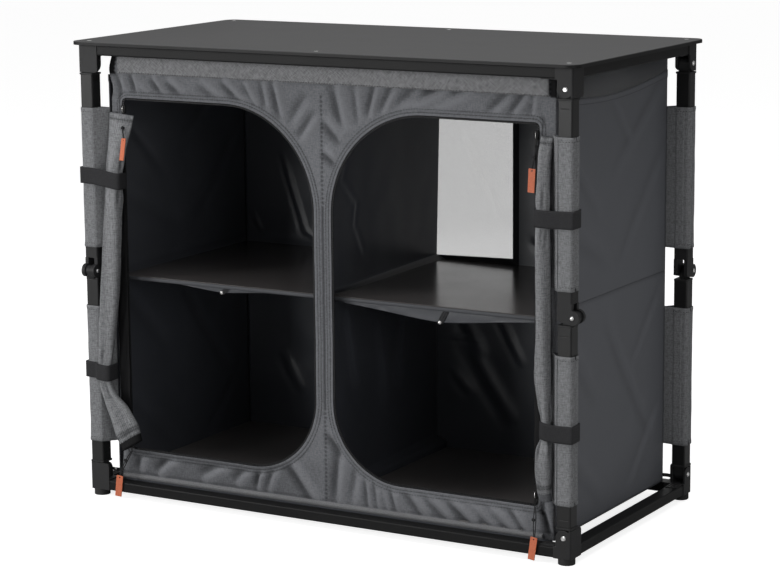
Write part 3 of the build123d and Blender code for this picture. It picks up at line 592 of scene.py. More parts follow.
def front_relief(x, z):
    """How far the front panel stands out from its flat cut."""
    gap = door_gap(x, z)
    relief = front_gathers(x, z) + 0.0013 * crumple(x, z, 0.09, 3.1) + 0.0005 * crumple(x, z, 0.022, 7.7)
    rim = np.clip((0.016 - gap) / 0.002, 0, 1) * 0.0008
    middle_seam = 0.0006 * np.exp(-(x / 0.007) ** 4)
    under_rail = np.clip((rail_underside - z) / 0.006, 0, 1)
    return (relief + rim + middle_seam - 0.0009 * seam_lines(x, z)) * under_rail


def on_front(x, z, proud=0.0):
    """The front panel's place. Beside the upper left bracket its edge waves in and out."""
    above_door = np.clip((z - 0.69) / 0.02, 0, 1)
    beside_leg = np.clip(-0.36 - x, 0, 0.03) / 0.03
    drawn_in = 0.0035 * np.sin((z - 0.70) * 95) * above_door * beside_leg
    return x + drawn_in, front_low.y - front_relief(x, z) - proud, z


cloth_thickness = 0.0009
left_edge = front_low.x + 0.0065
# The cloth ends on the zip's tape, just outside the coil, and its mesh has closer rows round each door
door_cut = zip_width - 0.0025
mesh_step = 0.0042
door_rims = [door_edge(side, door_cut) for side in (-1, 1)]
rim_rows = np.concatenate([door_edge(side, grow) for side in (-1, 1)
                           for grow in (0.005, 0.0068, 0.0085, 0.0108, 0.0135, 0.016)])
rim_rows = rim_rows[(rim_rows[:, 0] > left_edge + 0.002) & (rim_rows[:, 0] < front_high.x - 0.002)]
open_field = triangle_grid(left_edge, front_high.x, front_low.z, front_high.z, mesh_step)
open_field = open_field[door_gap(open_field[:, 0], open_field[:, 1]) > 0.0185]
front_outline = rectangle_loop(left_edge, front_high.x, front_low.z, front_high.z, mesh_step)
front_panel = cut_cloth(
    "front_panel_cloth", [front_outline, *door_rims], np.concatenate([rim_rows, open_field]),
    lambda x, z: door_gap(x, z) > door_cut, on_front, cloth_thickness, front_cloth, lining, front_shade)


def hang(piece, *stands_for, pile=0.11, floor=0.036):
    """Hangs a piece on the base, gives it a mesh of its own, and hides the model's parts that it stands for."""
    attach(piece, "base")
    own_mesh(piece)
    if stands_for:
        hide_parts(*stands_for)


hang(front_panel, "front_panel")


# Top band and hem: strips of the front's grey cloth, cut on the bias. They are folded over the panel's
# upper and lower edges and sewn down.
def lay_grid(name, across, up, place, thickness, outside, inside, bias=0.0, shade_at=None):
    """A piece laid on a grid. across and up run over its flat cut, and place gives each point. bias turns the
    threads of the cloth, and shade_at says how light each point is. A plain number stands for every point."""
    a, b = np.meshgrid(across, up)
    points = np.stack(np.broadcast_arrays(*place(a, b)), axis=-1).reshape(-1, 3)
    first = (np.arange(len(up) - 1)[:, None] * len(across) + np.arange(len(across) - 1)).ravel()
    faces = np.stack([first, first + 1, first + len(across) + 1, first + len(across)], axis=1)
    turned_a = a * math.cos(bias) - b * math.sin(bias)
    turned_b = a * math.sin(bias) + b * math.cos(bias)
    cut = np.stack([turned_a, turned_b], axis=-1).reshape(-1, 2)[faces.ravel()]
    shade = None if shade_at is None else np.broadcast_to(shade_at(a, b), a.shape).ravel()
    return sewn_piece(name, points, faces, cut, thickness, outside, inside, shade)


def spaced(low, high, step):
    """Even steps from low to high."""
    return np.linspace(low, high, max(2, round(abs(high - low) / step) + 1))


band_left = -0.4065
band_right = 0.4165
bias_cloth = woven("bias_cloth", dark=(0.10, 0.102, 0.107), light=(0.30, 0.302, 0.31), thread=0.0021,
                   slub=1.2, roughness=0.82, bump=0.6, constants={"Specular IOR Level": 0.2})


def on_band(x, z):
    """The band swells between its two edges."""
    across_band = (z - band_bottom) / (rail_underside - band_bottom)
    swell = 0.0012 * np.sqrt(np.clip(np.sin(np.pi * np.clip(across_band, 0, 1)), 0, 1))
    return x, front_low.y - 0.0012 - swell - 0.0005 * crumple(x, z, 0.05, 5.5), z


def on_hem(x, turn):
    """The hem is bent round the panel's lower edge, and turn is the angle round it."""
    return (x, front_low.y - 0.0006 - 0.0040 * np.cos(turn) - 0.0003 * np.sin(x * 900 + turn * 2),
            front_low.z + 0.0053 + 0.0047 * np.sin(turn))


top_band = lay_grid("front_top_band", spaced(band_left, band_right, 0.005),
                    spaced(band_bottom, rail_underside - 0.0006, 0.0025), on_band, 0.0008, bias_cloth, lining,
                    bias=math.radians(40))
hem = lay_grid("front_hem", spaced(-0.416, 0.408, 0.0015), spaced(-1.9, 1.9, 0.3), on_hem, 0.0008,
               bias_cloth, lining, bias=math.radians(50))
for strip, size in ((top_band, (band_right - band_left, 0.030)), (hem, (0.824, 0.018))):
    hang(strip, "front_panel")


# The panel's lower edge is turned under and tucked behind the floor frame's front rail
tuck = lay_grid("front_tuck", spaced(-0.420, 0.424, 0.02), spaced(0.014, front_low.z + 0.004, 0.004),
                lambda x, z: (x, front_low.y + 0.0006, z), 0.0008, lining, lining)
hang(tuck, "front_panel")


# Side and rear walls: smooth coated cloth, charcoal outside and glossy navy black inside. They are sewn to
# the front panel at the corners, and the rear one has a hole for the window.
side_low, side_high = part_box("side_panel_right")
rear_low, rear_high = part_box("rear_panel")
window_low, window_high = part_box("rear_window")
shelf_seam = 0.400
side_cloth = woven("side_cloth", dark=(0.084, 0.088, 0.098), light=(0.148, 0.154, 0.170), thread=0.0006,
                   slub=0.7, roughness=0.6, bump=0.12, constants={"Specular IOR Level": 0.35})


def edge_fade(a, b, low_a, high_a, low_b, high_b, reach):
    """0 on the edges of a rectangle and 1 further in than reach."""
    nearest = np.minimum(np.minimum(a - low_a, high_a - a), np.minimum(b - low_b, high_b - b))
    return np.clip(nearest / reach, 0, 1)


def creased(a, b, creases, seed, slack):
    """The height of a slack wall: broad hollows, small crumples and its own creases, each from one point to
    another with a width and a height."""
    height = slack * crumple(a, b, 0.16, seed) + 0.35 * slack * crumple(a, b, 0.05, seed + 5)
    for start, end, width, rise in creases:
        height = height + fold(a, b, start, end, width, rise)
    return height


# Creases of the side walls, as (y, z) pairs: pulled from the corners of the shelf seam and the hem
side_creases = [
    ((-0.205, 0.700), (-0.060, 0.560), 0.010, 0.0017), ((-0.200, 0.560), (-0.020, 0.470), 0.012, 0.0015),
    ((0.195, 0.720), (0.020, 0.600), 0.011, 0.0018), ((0.200, 0.600), (0.050, 0.450), 0.012, 0.0014),
    ((0.000, 0.740), (0.080, 0.640), 0.009, 0.0012), ((-0.200, 0.395), (-0.060, 0.250), 0.012, 0.0018),
    ((-0.005, 0.350), (0.155, 0.150), 0.011, 0.0022), ((0.200, 0.380), (0.090, 0.260), 0.010, 0.0014),
    ((-0.190, 0.200), (-0.050, 0.080), 0.012, 0.0015), ((0.190, 0.170), (0.080, 0.060), 0.010, 0.0014),
]
# Creases of the rear wall, as (x, z)
rear_creases = [
    ((-0.339, 0.547), (-0.298, 0.419), 0.0050, 0.0045), ((-0.298, 0.419), (-0.270, 0.400), 0.0040, 0.0030),
    ((-0.412, 0.445), (-0.396, 0.415), 0.0045, 0.0035), ((-0.400, 0.340), (-0.370, 0.300), 0.0055, 0.0030),
    ((-0.345, 0.180), (-0.310, 0.120), 0.0090, 0.0030), ((0.049, 0.236), (0.130, 0.115), 0.0130, 0.0060),
    ((0.030, 0.300), (0.075, 0.225), 0.0110, 0.0050), ((0.090, 0.330), (0.150, 0.220), 0.0070, 0.0035),
    ((-0.010, 0.246), (0.070, 0.248), 0.0030, 0.0022), ((0.010, 0.190), (0.050, 0.150), 0.0080, 0.0030),
    ((0.200, 0.620), (0.260, 0.520), 0.0100, 0.0045), ((0.180, 0.440), (0.240, 0.400), 0.0070, 0.0035),
    ((-0.240, 0.700), (-0.180, 0.620), 0.0100, 0.0035), ((0.230, 0.300), (0.330, 0.160), 0.0120, 0.0045),
]


def on_side(way):
    def place(a, z):
        y = a * way
        fade = edge_fade(y, z, side_low.y, side_high.y, side_low.z, side_high.z, 0.03)
        seam = np.clip(np.abs(z - shelf_seam) / 0.02, 0.15, 1)
        relief = creased(y, z, side_creases, 11.0 * way, 0.0022) * fade * seam
        top_hem = 0.0010 * (z > side_high.z - 0.013)
        groove = 0.0010 * np.exp(-((z - shelf_seam) / 0.0014) ** 2)
        back = (y - side_low.y) / (side_high.y - side_low.y)
        near_top = np.clip((z - side_high.z + 0.15) / 0.15, 0, 1) ** 2
        slump = near_top * (0.007 * back**2 - 0.014 * np.sin(np.pi * back))
        return way * (side_high.x + relief + top_hem - groove), y, z + slump
    return place


def side_shade(way):
    def shade(a, z):
        """Painted light and shade on the creases, painted shade along the seams, and a lighter top hem."""
        y = a * way
        folds = sum(fold(y, z, *crease) for crease in side_creases)
        seams = np.exp(-((z - shelf_seam) / 0.0016) ** 2) + np.exp(-((z - side_high.z + 0.013) / 0.0014) ** 2)
        return np.clip(folds / 0.006, -0.22, 0.30) + 0.2 * (z > side_high.z - 0.012) - 0.55 * seams
    return shade


for name, way in (("right", 1), ("left", -1)):
    wall = lay_grid(f"side_wall_{name}", spaced(side_low.y, side_high.y, 0.005),
                    spaced(side_low.z, side_high.z, 0.005), on_side(way), cloth_thickness, side_cloth, lining,
                    shade_at=side_shade(way))
    hang(wall, f"side_panel_{name}")


def on_rear(a, z):
    """The rear wall is cut as it is seen from behind, and lies flat round the window and along its seams."""
    x = -a
    fade = edge_fade(x, z, rear_low.x, rear_high.x, rear_low.z, rear_high.z, 0.03)
    from_window = np.maximum(np.abs(x) - window_high.x, np.abs(z - (window_low.z + window_high.z) / 2)
                             - (window_high.z - window_low.z) / 2)
    fade = fade * np.clip(from_window / 0.035, 0, 1) * np.clip(np.abs(z - shelf_seam) / 0.012, 0.1, 1)
    fade = fade * np.clip(np.abs(x) / 0.02, 0, 1)
    return x, rear_high.y - 0.0010 - creased(x, z, rear_creases, 21.0, 0.0028) * fade, z


rear_wall = cut_cloth(
    "rear_wall",
    [rectangle_loop(rear_low.x, rear_high.x, rear_low.z, rear_high.z, 0.006),
     rectangle_loop(window_low.x, window_high.x, window_low.z, window_high.z, 0.006)],
    triangle_grid(rear_low.x, rear_high.x, rear_low.z, rear_high.z, 0.0055),
    lambda a, z: (np.abs(a) > window_high.x) | (z < window_low.z) | (z > window_high.z),
    on_rear, cloth_thickness, side_cloth, lining, lambda a, z: np.zeros(len(a)))
hang(rear_wall, "rear_panel")


# Rear window: pale netting that lets the light through, set into the rear wall. A black tape binds it to the
# wall all round, inside and outside.
netting, tree, shader = new_material("netting", {"Base Color": (0.7, 0.7, 0.7, 1), "Roughness": 0.7})
net_place = add_node(tree, "UVMap", uv_map="cut").outputs["UV"]
net = add_node(tree, "Group", {"Place": net_place, "Thread": 0.0011, "Slub": 0.6}, node_tree=weave).outputs
cover = add_node(tree, "MapRange", {"Value": net["Height"], "From Min": 0.30, "From Max": 0.66,
                                    "To Min": 0.19, "To Max": 0.43})
tree.links.new(cover.outputs["Result"], shader.inputs["Alpha"])


def on_window(a, z):
    """The netting hangs a little slack between its edges, with one crease."""
    slack = edge_fade(a, z, window_low.x, window_high.x, window_low.z, window_high.z, 0.05)
    crease = fold(-a, z, (0.02, 0.66), (0.11, 0.47), 0.006, 0.0016)
    return -a, window_high.y + slack * (0.0016 * crumple(a, z, 0.12, 4.0) + crease), z


window = lay_grid("rear_window_net", spaced(window_low.x, window_high.x, 0.006),
                  spaced(window_low.z, window_high.z, 0.006), on_window, 0.0005, netting, netting)
hang(window, "rear_window")

tape_webbing = woven("tape_webbing", dark=(0.012, 0.012, 0.013), light=(0.034, 0.034, 0.037), thread=0.0014,
                     slub=0.8, roughness=0.72, bump=0.7, constants={"Specular IOR Level": 0.3})
binding_width = 0.012
binding_laps = {"right": 0.005, "top": 0.010, "lower right": 0.008}


def binding_ring(low, high, width, y):
    """A flat frame of tape round a rectangle in a wall, mitred at its corners. It laps over the netting on
    the right and along the top, and its lower edge rises to the right."""
    right = high.x - binding_laps["right"]
    top = high.z - binding_laps["top"]
    risen = low.z + binding_laps["lower right"]
    inner = np.array([(low.x, low.z), (right, risen), (right, top), (low.x, top)])
    outer = inner + np.array([(-width, -width), (width, -width), (width, width), (-width, width)])
    flat = np.concatenate([inner, outer])
    points = np.stack([flat[:, 0], np.full(8, y), flat[:, 1]], axis=1)
    faces = np.array([(i, 4 + i, 4 + (i + 1) % 4, (i + 1) % 4) for i in range(4)])
    return points, faces, flat[faces.ravel()]


for face, y, turn in (("inner", rear_low.y - 0.0008, 1), ("outer", rear_high.y + 0.0014, -1)):
    points, faces, cut = binding_ring(window_low, window_high, binding_width, y)
    if turn < 0:
        faces = faces[:, ::-1]
        cut = cut.reshape(-1, 4, 2)[:, ::-1].reshape(-1, 2)
    binding = sewn_piece(f"window_binding_{face}", points, faces, cut, 0.0008, tape_webbing, tape_webbing)
    hang(binding, "rear_panel")


# Divider and cabinet floor: the same coated cloth as the lining. The divider hangs between the front and rear
# walls, and the floor is stretched over the floor frame under the floor boards.
divider_low, divider_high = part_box("divider")
shelf_top = 0.390
shelf_middle = 0.388
shelf_underside = 0.378
floor_board_top = 0.055
divider_seam = 0.3985
divider_lean = {"shelf": 0.020, "top": 0.011}
divider_creases = [
    ((-0.127, 0.616), (-0.143, 0.577), 0.0050, -0.0010), ((-0.143, 0.577), (-0.092, 0.532), 0.0050, -0.0014),
    ((-0.092, 0.532), (-0.099, 0.495), 0.0055, -0.0016), ((-0.099, 0.495), (-0.070, 0.450), 0.0055, -0.0012),
    ((-0.130, 0.350), (-0.100, 0.230), 0.0100, 0.0018), ((-0.010, 0.300), (0.010, 0.180), 0.0100, 0.0012),
    ((0.090, 0.340), (0.060, 0.200), 0.0100, 0.0012), ((-0.180, 0.160), (-0.120, 0.070), 0.0110, 0.0015),
]


def on_divider(y, z):
    """The divider leans to the left towards the rear, but keeps between the boards at the shelves and the
    floor."""
    from_shelf = np.where(z > shelf_top, z - shelf_top, shelf_underside - z)
    from_boards = np.clip(np.minimum(from_shelf, z - floor_board_top) / 0.006, 0, 1)
    towards_top = np.clip((z - shelf_top) / (divider_high.z - shelf_top), 0, 1)
    back = np.clip((y - divider_low.y) / (divider_high.y - divider_low.y), 0, 1)
    furthest = divider_lean["shelf"] - (divider_lean["shelf"] - divider_lean["top"]) * towards_top
    lean = -furthest * back * from_boards
    fade = edge_fade(y, z, divider_low.y, divider_high.y, divider_low.z, divider_high.z, 0.03)
    seam = np.clip(np.abs(z - shelf_middle) / 0.02, 0.1, 1)
    return divider_high.x + lean + creased(y, z, divider_creases, 31.0, 0.0022) * fade * seam, y, z


def divider_shade(y, z):
    """Painted highlights on the creases and along the shelf seam, and painted shade on the ledge where the
    cloth tucks in under the seam.
    """
    folds = sum(fold(y, z, *crease) for crease in divider_creases)
    seam = np.exp(-((z - divider_seam) / 0.0012) ** 2)
    painted_shade_tucked = np.clip(1 - np.abs(z - shelf_top - 0.002) / 0.004, 0, 1)
    return np.clip(np.abs(folds) / 0.0012, 0, 1.6) + 1.2 * seam - 1.4 * painted_shade_tucked - 0.1


seam_rows = [divider_seam - 0.002, divider_seam, divider_seam + 0.002]
divider_rows = np.sort(np.concatenate([spaced(divider_low.z, divider_high.z, 0.005), seam_rows]))
divider = lay_grid("divider_wall", spaced(divider_low.y, divider_high.y, 0.004), divider_rows, on_divider,
                   0.0015, lining, lining, shade_at=divider_shade)
hang(divider, "divider")

base_low, base_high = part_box("cabinet_floor")
cabinet_floor = lay_grid(
    "cabinet_floor_cloth", spaced(base_low.x, base_high.x, 0.012), spaced(base_low.y, base_high.y, 0.012),
    lambda x, y: (x, y, base_high.z - 0.0003 + 0.0002 * crumple(x, y, 0.1, 6.0)), cloth_thickness, lining,
    side_cloth)
hang(cabinet_floor, "cabinet_floor")


# Shelf slings: each shelf board lies on a sheet of the lining that is sewn into the walls. The loose front
# edge turns up in a dark lip with a rolled hem and sags under the board, most where a short tape with a
# press stud gathers it.
bright_nickel = bright_metal("bright_nickel", (0.80, 0.79, 0.77), 0.24, 900.0)
lip_height = 0.012


def turned_piece(name, profile, place, turn_steps, material):
    """A small turned piece from (radius, height) pairs, with its axis along -Y."""
    angles = np.linspace(0, 2 * math.pi, turn_steps, endpoint=False)
    rings = [[(r * math.cos(t), -h, r * math.sin(t)) for t in angles] for r, h in profile]
    points = np.array([p for ring in rings for p in ring]) + np.array(place)
    faces = []
    for k in range(len(profile) - 1):
        for i in range(turn_steps):
            j = (i + 1) % turn_steps
            near = k * turn_steps
            far = near + turn_steps
            faces.append((near + i, near + j, far + j, far + i))
    faces.append(tuple(range((len(profile) - 1) * turn_steps, len(profile) * turn_steps)))
    mesh = bpy.data.meshes.new(name)
    mesh.from_pydata(points.tolist(), [], faces)
    mesh.shade_smooth()
    mesh.materials.append(material)
    piece = bpy.data.objects.new(name, mesh)
    bpy.context.collection.objects.link(piece)
    return piece


press_stud = [(0.0031, 0.0), (0.0032, 0.0006), (0.0028, 0.0013), (0.0020, 0.0019), (0.0008, 0.0022)]
# Each sling: its stud's place across, how far it sags there, and how wide the sag is
sling_sags = {"left": (-0.217, 0.0095, 0.075), "right": (0.208, 0.0215, 0.150)}
for name, (button_x, sag, sag_width) in sling_sags.items():
    sling_low, sling_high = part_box(f"shelf_sling_{name}")
    lip_front = sling_low.y - 0.0012
    depth = sling_high.y - lip_front

    def sag_at(x):
        """How far the front edge hangs under the board, most at the stud."""
        from_ends = np.clip(np.minimum(x - sling_low.x, sling_high.x - x) / 0.03, 0, 1)
        pulled = np.exp(-np.abs((x - button_x) / sag_width) ** 1.6)
        return sag * pulled * from_ends

    def on_sling(x, run):
        """The sling's place. run goes from the rear wall to the front and then up the lip."""
        under = np.clip(run, 0, depth)
        near_front = np.clip((under - depth + 0.11) / 0.11, 0, 1) ** 2
        z = sling_high.z - 0.0005 - sag_at(x) * near_front
        up_lip = np.clip(run - depth, 0, lip_height) / lip_height
        z = z + up_lip * (sling_high.z + 0.0002 - z)
        ripple = 0.0012 * crumple(x, run * 0.4, 0.03, 8.0) * np.sin(np.pi * up_lip)
        return x, sling_high.y - under - ripple, z

    def sling_shade(x, run):
        """Darker all over, with a painted highlight along the fold at the foot of the lip."""
        return 0.5 * np.exp(-((run - depth) / 0.0008) ** 2) - 0.35

    run = np.concatenate([spaced(0, depth - 0.02, 0.02), spaced(depth - 0.015, depth, 0.003),
                          spaced(depth + 0.001, depth + lip_height, 0.0016)])
    sling = lay_grid(f"shelf_sling_cloth_{name}", spaced(sling_low.x, sling_high.x, 0.004), run, on_sling,
                     cloth_thickness, lining, lining, shade_at=sling_shade)
    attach(sling, f"{name}_shelf")
    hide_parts(f"shelf_sling_{name}")
    stud_z = sling_high.z - sag_at(np.array(button_x)) - 0.0025
    stud_place = (button_x, lip_front - 0.0010, stud_z + 0.002)
    stud = turned_piece(f"sling_stud_{name}", press_stud, stud_place, 20, bright_nickel)
    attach(stud, f"{name}_shelf")

    def on_sling_tape(a, z):
        """The tape runs down to the stud, leaning to the left, in two layers side by side."""
        up_tape = (z - stud_z) / (sling_high.z - stud_z)
        return (button_x + a + 0.013 * up_tape, lip_front - 0.0006 - 0.0016 * np.sin(np.pi * up_tape)
                - 0.0007 * np.cos(a * 1100), z)

    def on_sling_hem(x, turn):
        """The hem is bent round the lip's upper edge, and turn is the angle round it."""
        return x, lip_front - 0.0008 - 0.0014 * np.cos(turn), sling_high.z + 0.0003 + 0.0031 * np.sin(turn)

    tape = lay_grid(f"sling_tape_{name}", spaced(-0.005, 0.005, 0.00125),
                    spaced(stud_z - 0.001, sling_high.z, 0.0025), on_sling_tape, 0.0009, tape_webbing,
                    tape_webbing)
    hem_tube = lay_grid(f"shelf_sling_hem_{name}", spaced(sling_low.x + 0.001, sling_high.x - 0.001, 0.006),
                        spaced(-1.45, 1.45, 0.29), on_sling_hem, 0.0008, side_cloth, lining,
                        shade_at=lambda x, turn: -0.70)
    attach(hem_tube, f"{name}_shelf")
    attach(tape, f"{name}_shelf")


# Door zips: half a zip runs round each opening, a nylon coil on a black woven tape. The tape is sewn to the
# panel's edge, and the coil is made tooth by tooth.
coil_nylon, tree, shader = new_material("coil_nylon", {"Roughness": 0.42, "Specular IOR Level": 0.5})
place = add_node(tree, "TexCoord").outputs["Object"]
dust = add_node(tree, "TexNoise", {"Vector": place, "Scale": 60.0, "Detail": 4.0}).outputs["Fac"]
tree.links.new(mixed(tree, dust, (0.008, 0.008, 0.009), (0.03, 0.03, 0.032)), shader.inputs["Base Color"])
zip_cloth = woven("zip_cloth", dark=(0.003, 0.003, 0.0032), light=(0.010, 0.010, 0.011), thread=0.0008,
                  slub=0.6, roughness=0.7, bump=0.4, constants={"Specular IOR Level": 0.2})
tape_face = -0.2107
coil_pitch = 0.0028
tape_width = 0.012
# A tooth's corners: along the coil, outward and forward, and its five open sides
tooth_corners = [
    (-0.0008, -0.0004, 0), (0.0008, -0.0004, 0), (0.0009, 0.0030, 0), (-0.0009, 0.0030, 0),
    (-0.0004, 0.0001, 0.0011), (0.0004, 0.0001, 0.0011), (0.0005, 0.0024, 0.0011), (-0.0005, 0.0024, 0.0011),
]
tooth_sides = [(0, 4, 5, 1), (1, 5, 6, 2), (2, 6, 7, 3), (3, 7, 4, 0), (4, 7, 6, 5)]
for side, name in ((-1, "left"), (1, "right")):
    inner = door_edge(side, 0.0)
    count = len(inner)
    rings = [(inner, tape_face), (door_edge(side, zip_width / 2), tape_face - 0.0004),
             (door_edge(side, tape_width), tape_face + 0.0004)]
    points = np.concatenate([np.stack([r[:, 0], np.full(count, y), r[:, 1]], axis=1) for r, y in rings])
    distance = np.concatenate([[0], np.cumsum(np.hypot(*np.diff(inner, axis=0).T))])
    faces = []
    cut = []
    for ring in range(2):
        for i in range(count):
            j = (i + 1) % count
            faces.append((ring * count + i, (ring + 1) * count + i, (ring + 1) * count + j, ring * count + j))
            far = distance[j] if j else distance[-1] + 0.006
            near_edge = ring * zip_width / 2
            far_edge = near_edge + zip_width / 2
            cut += [(distance[i], near_edge), (distance[i], far_edge), (far, far_edge), (far, near_edge)]
    zip_tape = sewn_piece(f"zip_tape_{name}", points, np.array(faces), np.array(cut), 0.0008, zip_cloth,
                          zip_cloth)
    hang(zip_tape, "door_zips")

    places = np.arange(0, distance[-1], coil_pitch)
    closed = np.concatenate([inner, inner[:1]])
    along = np.concatenate([[0], np.cumsum(np.hypot(*np.diff(closed, axis=0).T))])
    tooth_x = np.interp(places, along, closed[:, 0])
    tooth_z = np.interp(places, along, closed[:, 1])
    step = 0.0005
    ahead_x = np.interp(places + step, along, closed[:, 0]) - tooth_x
    ahead_z = np.interp(places + step, along, closed[:, 1]) - tooth_z
    reach = np.hypot(ahead_x, ahead_z) + 1e-9
    forward = np.stack([ahead_x / reach, ahead_z / reach], axis=1)
    outward = np.stack([forward[:, 1], -forward[:, 0]], axis=1)
    tooth_points = []
    tooth_faces = []
    for n in range(len(places)):
        for a, b, height in tooth_corners:
            flat = np.array([tooth_x[n], tooth_z[n]]) + forward[n] * a + outward[n] * b
            tooth_points.append((flat[0], tape_face - 0.0004 - height, flat[1]))
        tooth_faces += [tuple(len(tooth_corners) * n + k for k in face) for face in tooth_sides]
    mesh = bpy.data.meshes.new(f"zip_coil_{name}")
    mesh.from_pydata(tooth_points, [], tooth_faces)
    mesh.materials.append(coil_nylon)
    coil = bpy.data.objects.new(f"zip_coil_{name}", mesh)
    bpy.context.collection.objects.link(coil)
    hang(coil, "door_zips")


# Stitching: dark polyester thread in lock stitch, double round the doors and single along the seams and hems.
# Each stitch is a short spindle of thread that stands just proud of the cloth.
thread, tree, shader = new_material("thread", {"Roughness": 0.6, "Specular IOR Level": 0.3})
place = add_node(tree, "TexCoord").outputs["Object"]
twist = add_node(tree, "TexNoise", {"Vector": place, "Scale": 300.0, "Detail": 2.0}).outputs["Fac"]
tree.links.new(mixed(tree, twist, (0.012, 0.012, 0.013), (0.045, 0.045, 0.048)), shader.inputs["Base Color"])


def stitch_rows(name, rows, pitch=0.0050, length=0.0036, radius=0.00060):
    """Rows of stitches along lines of points, each stitch a small spindle, as one piece."""
    points = []
    faces = []
    spindle = [(2, 0, 4), (0, 3, 4), (3, 1, 4), (1, 2, 4), (0, 2, 5), (3, 0, 5), (1, 3, 5), (2, 1, 5)]
    for row in rows:
        row = np.asarray(row)
        along = np.concatenate([[0], np.cumsum(np.linalg.norm(np.diff(row, axis=0), axis=1))])
        middles = np.arange(pitch / 2, along[-1] - pitch / 4, pitch)
        ends = [np.stack([np.interp(middles + d, along, row[:, k]) for k in range(3)], axis=1)
                for d in (-length / 2, length / 2)]
        for start, end in zip(*ends):
            direction = (end - start) / (np.linalg.norm(end - start) + 1e-9)
            side_way = np.cross(direction, (0.31, 0.87, 0.39))
            side_way /= np.linalg.norm(side_way)
            other = np.cross(direction, side_way)
            middle = (start + end) / 2
            base = len(points)
            points += [middle + radius * side_way, middle - radius * side_way, middle + radius * other,
                       middle - radius * other, end, start]
            faces += [tuple(base + k for k in face) for face in spindle]
    mesh = bpy.data.meshes.new(name)
    mesh.from_pydata([tuple(p) for p in points], [], faces)
    mesh.shade_smooth()
    mesh.materials.append(thread)
    piece = bpy.data.objects.new(name, mesh)
    bpy.context.collection.objects.link(piece)
    return piece


def row_on(place, a, b, *proud):
    """A row of points on a piece, for stitches to follow."""
    a, b = np.broadcast_arrays(np.asarray(a, float), np.asarray(b, float))
    return np.stack(np.broadcast_arrays(*place(a, b, *proud)), axis=1)


row_step = 0.004
thread_lift = 0.0002
rows = []
for side in (-1, 1):
    for grow in door_stitch_lines:
        row = door_edge(side, grow, row_step)
        rows.append(row_on(on_front, row[:, 0], row[:, 1], thread_lift))
    # A short row across the outer seam, over each door's upper corner
    rows.append(row_on(on_front, side * spaced(seam_x, 0.427, row_step), 0.678, thread_lift))
rows.append(row_on(on_front, 0.0, spaced(front_low.z + 0.012, middle_seam_top, row_step), thread_lift))
rows.append(row_on(on_front, spaced(-0.006, 0.006, 0.003), middle_seam_top, thread_lift))
band_row = row_on(on_band, spaced(band_left + 0.002, band_right - 0.002, row_step), band_bottom + 0.0015)
rows.append(band_row + (0, -thread_lift, 0))
rows.append(row_on(on_front, spaced(-0.415, 0.407, row_step), front_low.z + 0.0115, thread_lift))
for way in (-1, 1):
    for z in (side_high.z - 0.011, shelf_seam + 0.004):
        side_row = row_on(on_side(way), spaced(-0.208, 0.208, row_step), z)
        rows.append(side_row + (way * thread_lift, 0, 0))
cabinet_stitches = stitch_rows("cabinet_stitches", rows)
hang(cabinet_stitches, "front_panel")


# Leg sleeves and their webs: coarse grey cloth sewn into a square tube round each half of a leg. A narrow
# V-shaped web of the same cloth joins each sleeve to the cabinet's corner.
sleeve_cloth = woven("sleeve_cloth", dark=(0.085, 0.088, 0.093), light=(0.31, 0.315, 0.325), thread=0.0016,
                     slub=1.1, roughness=0.8, bump=0.7, constants={"Specular IOR Level": 0.2})
sleeve_half = 0.0141
sleeve_radius = 0.0055
sleeve_straight = sleeve_half - sleeve_radius
sleeve_quarter = 2 * sleeve_straight + sleeve_radius * math.pi / 2


def round_square(distance, half, radius):
    """The points at these distances round a square with round corners, from the middle of its right side."""
    straight = half - radius
    quarter = 2 * straight + radius * math.pi / 2
    side_number = np.floor(distance / quarter)
    rest = distance - side_number * quarter
    angle = np.clip((rest - straight) / radius, 0, math.pi / 2)
    x = straight + radius * np.cos(angle) - np.clip(rest - straight - radius * math.pi / 2, 0, None)
    y = np.minimum(rest, straight) + radius * np.sin(angle)
    turn = side_number * math.pi / 2
    return x * np.cos(turn) - y * np.sin(turn), x * np.sin(turn) + y * np.cos(turn)


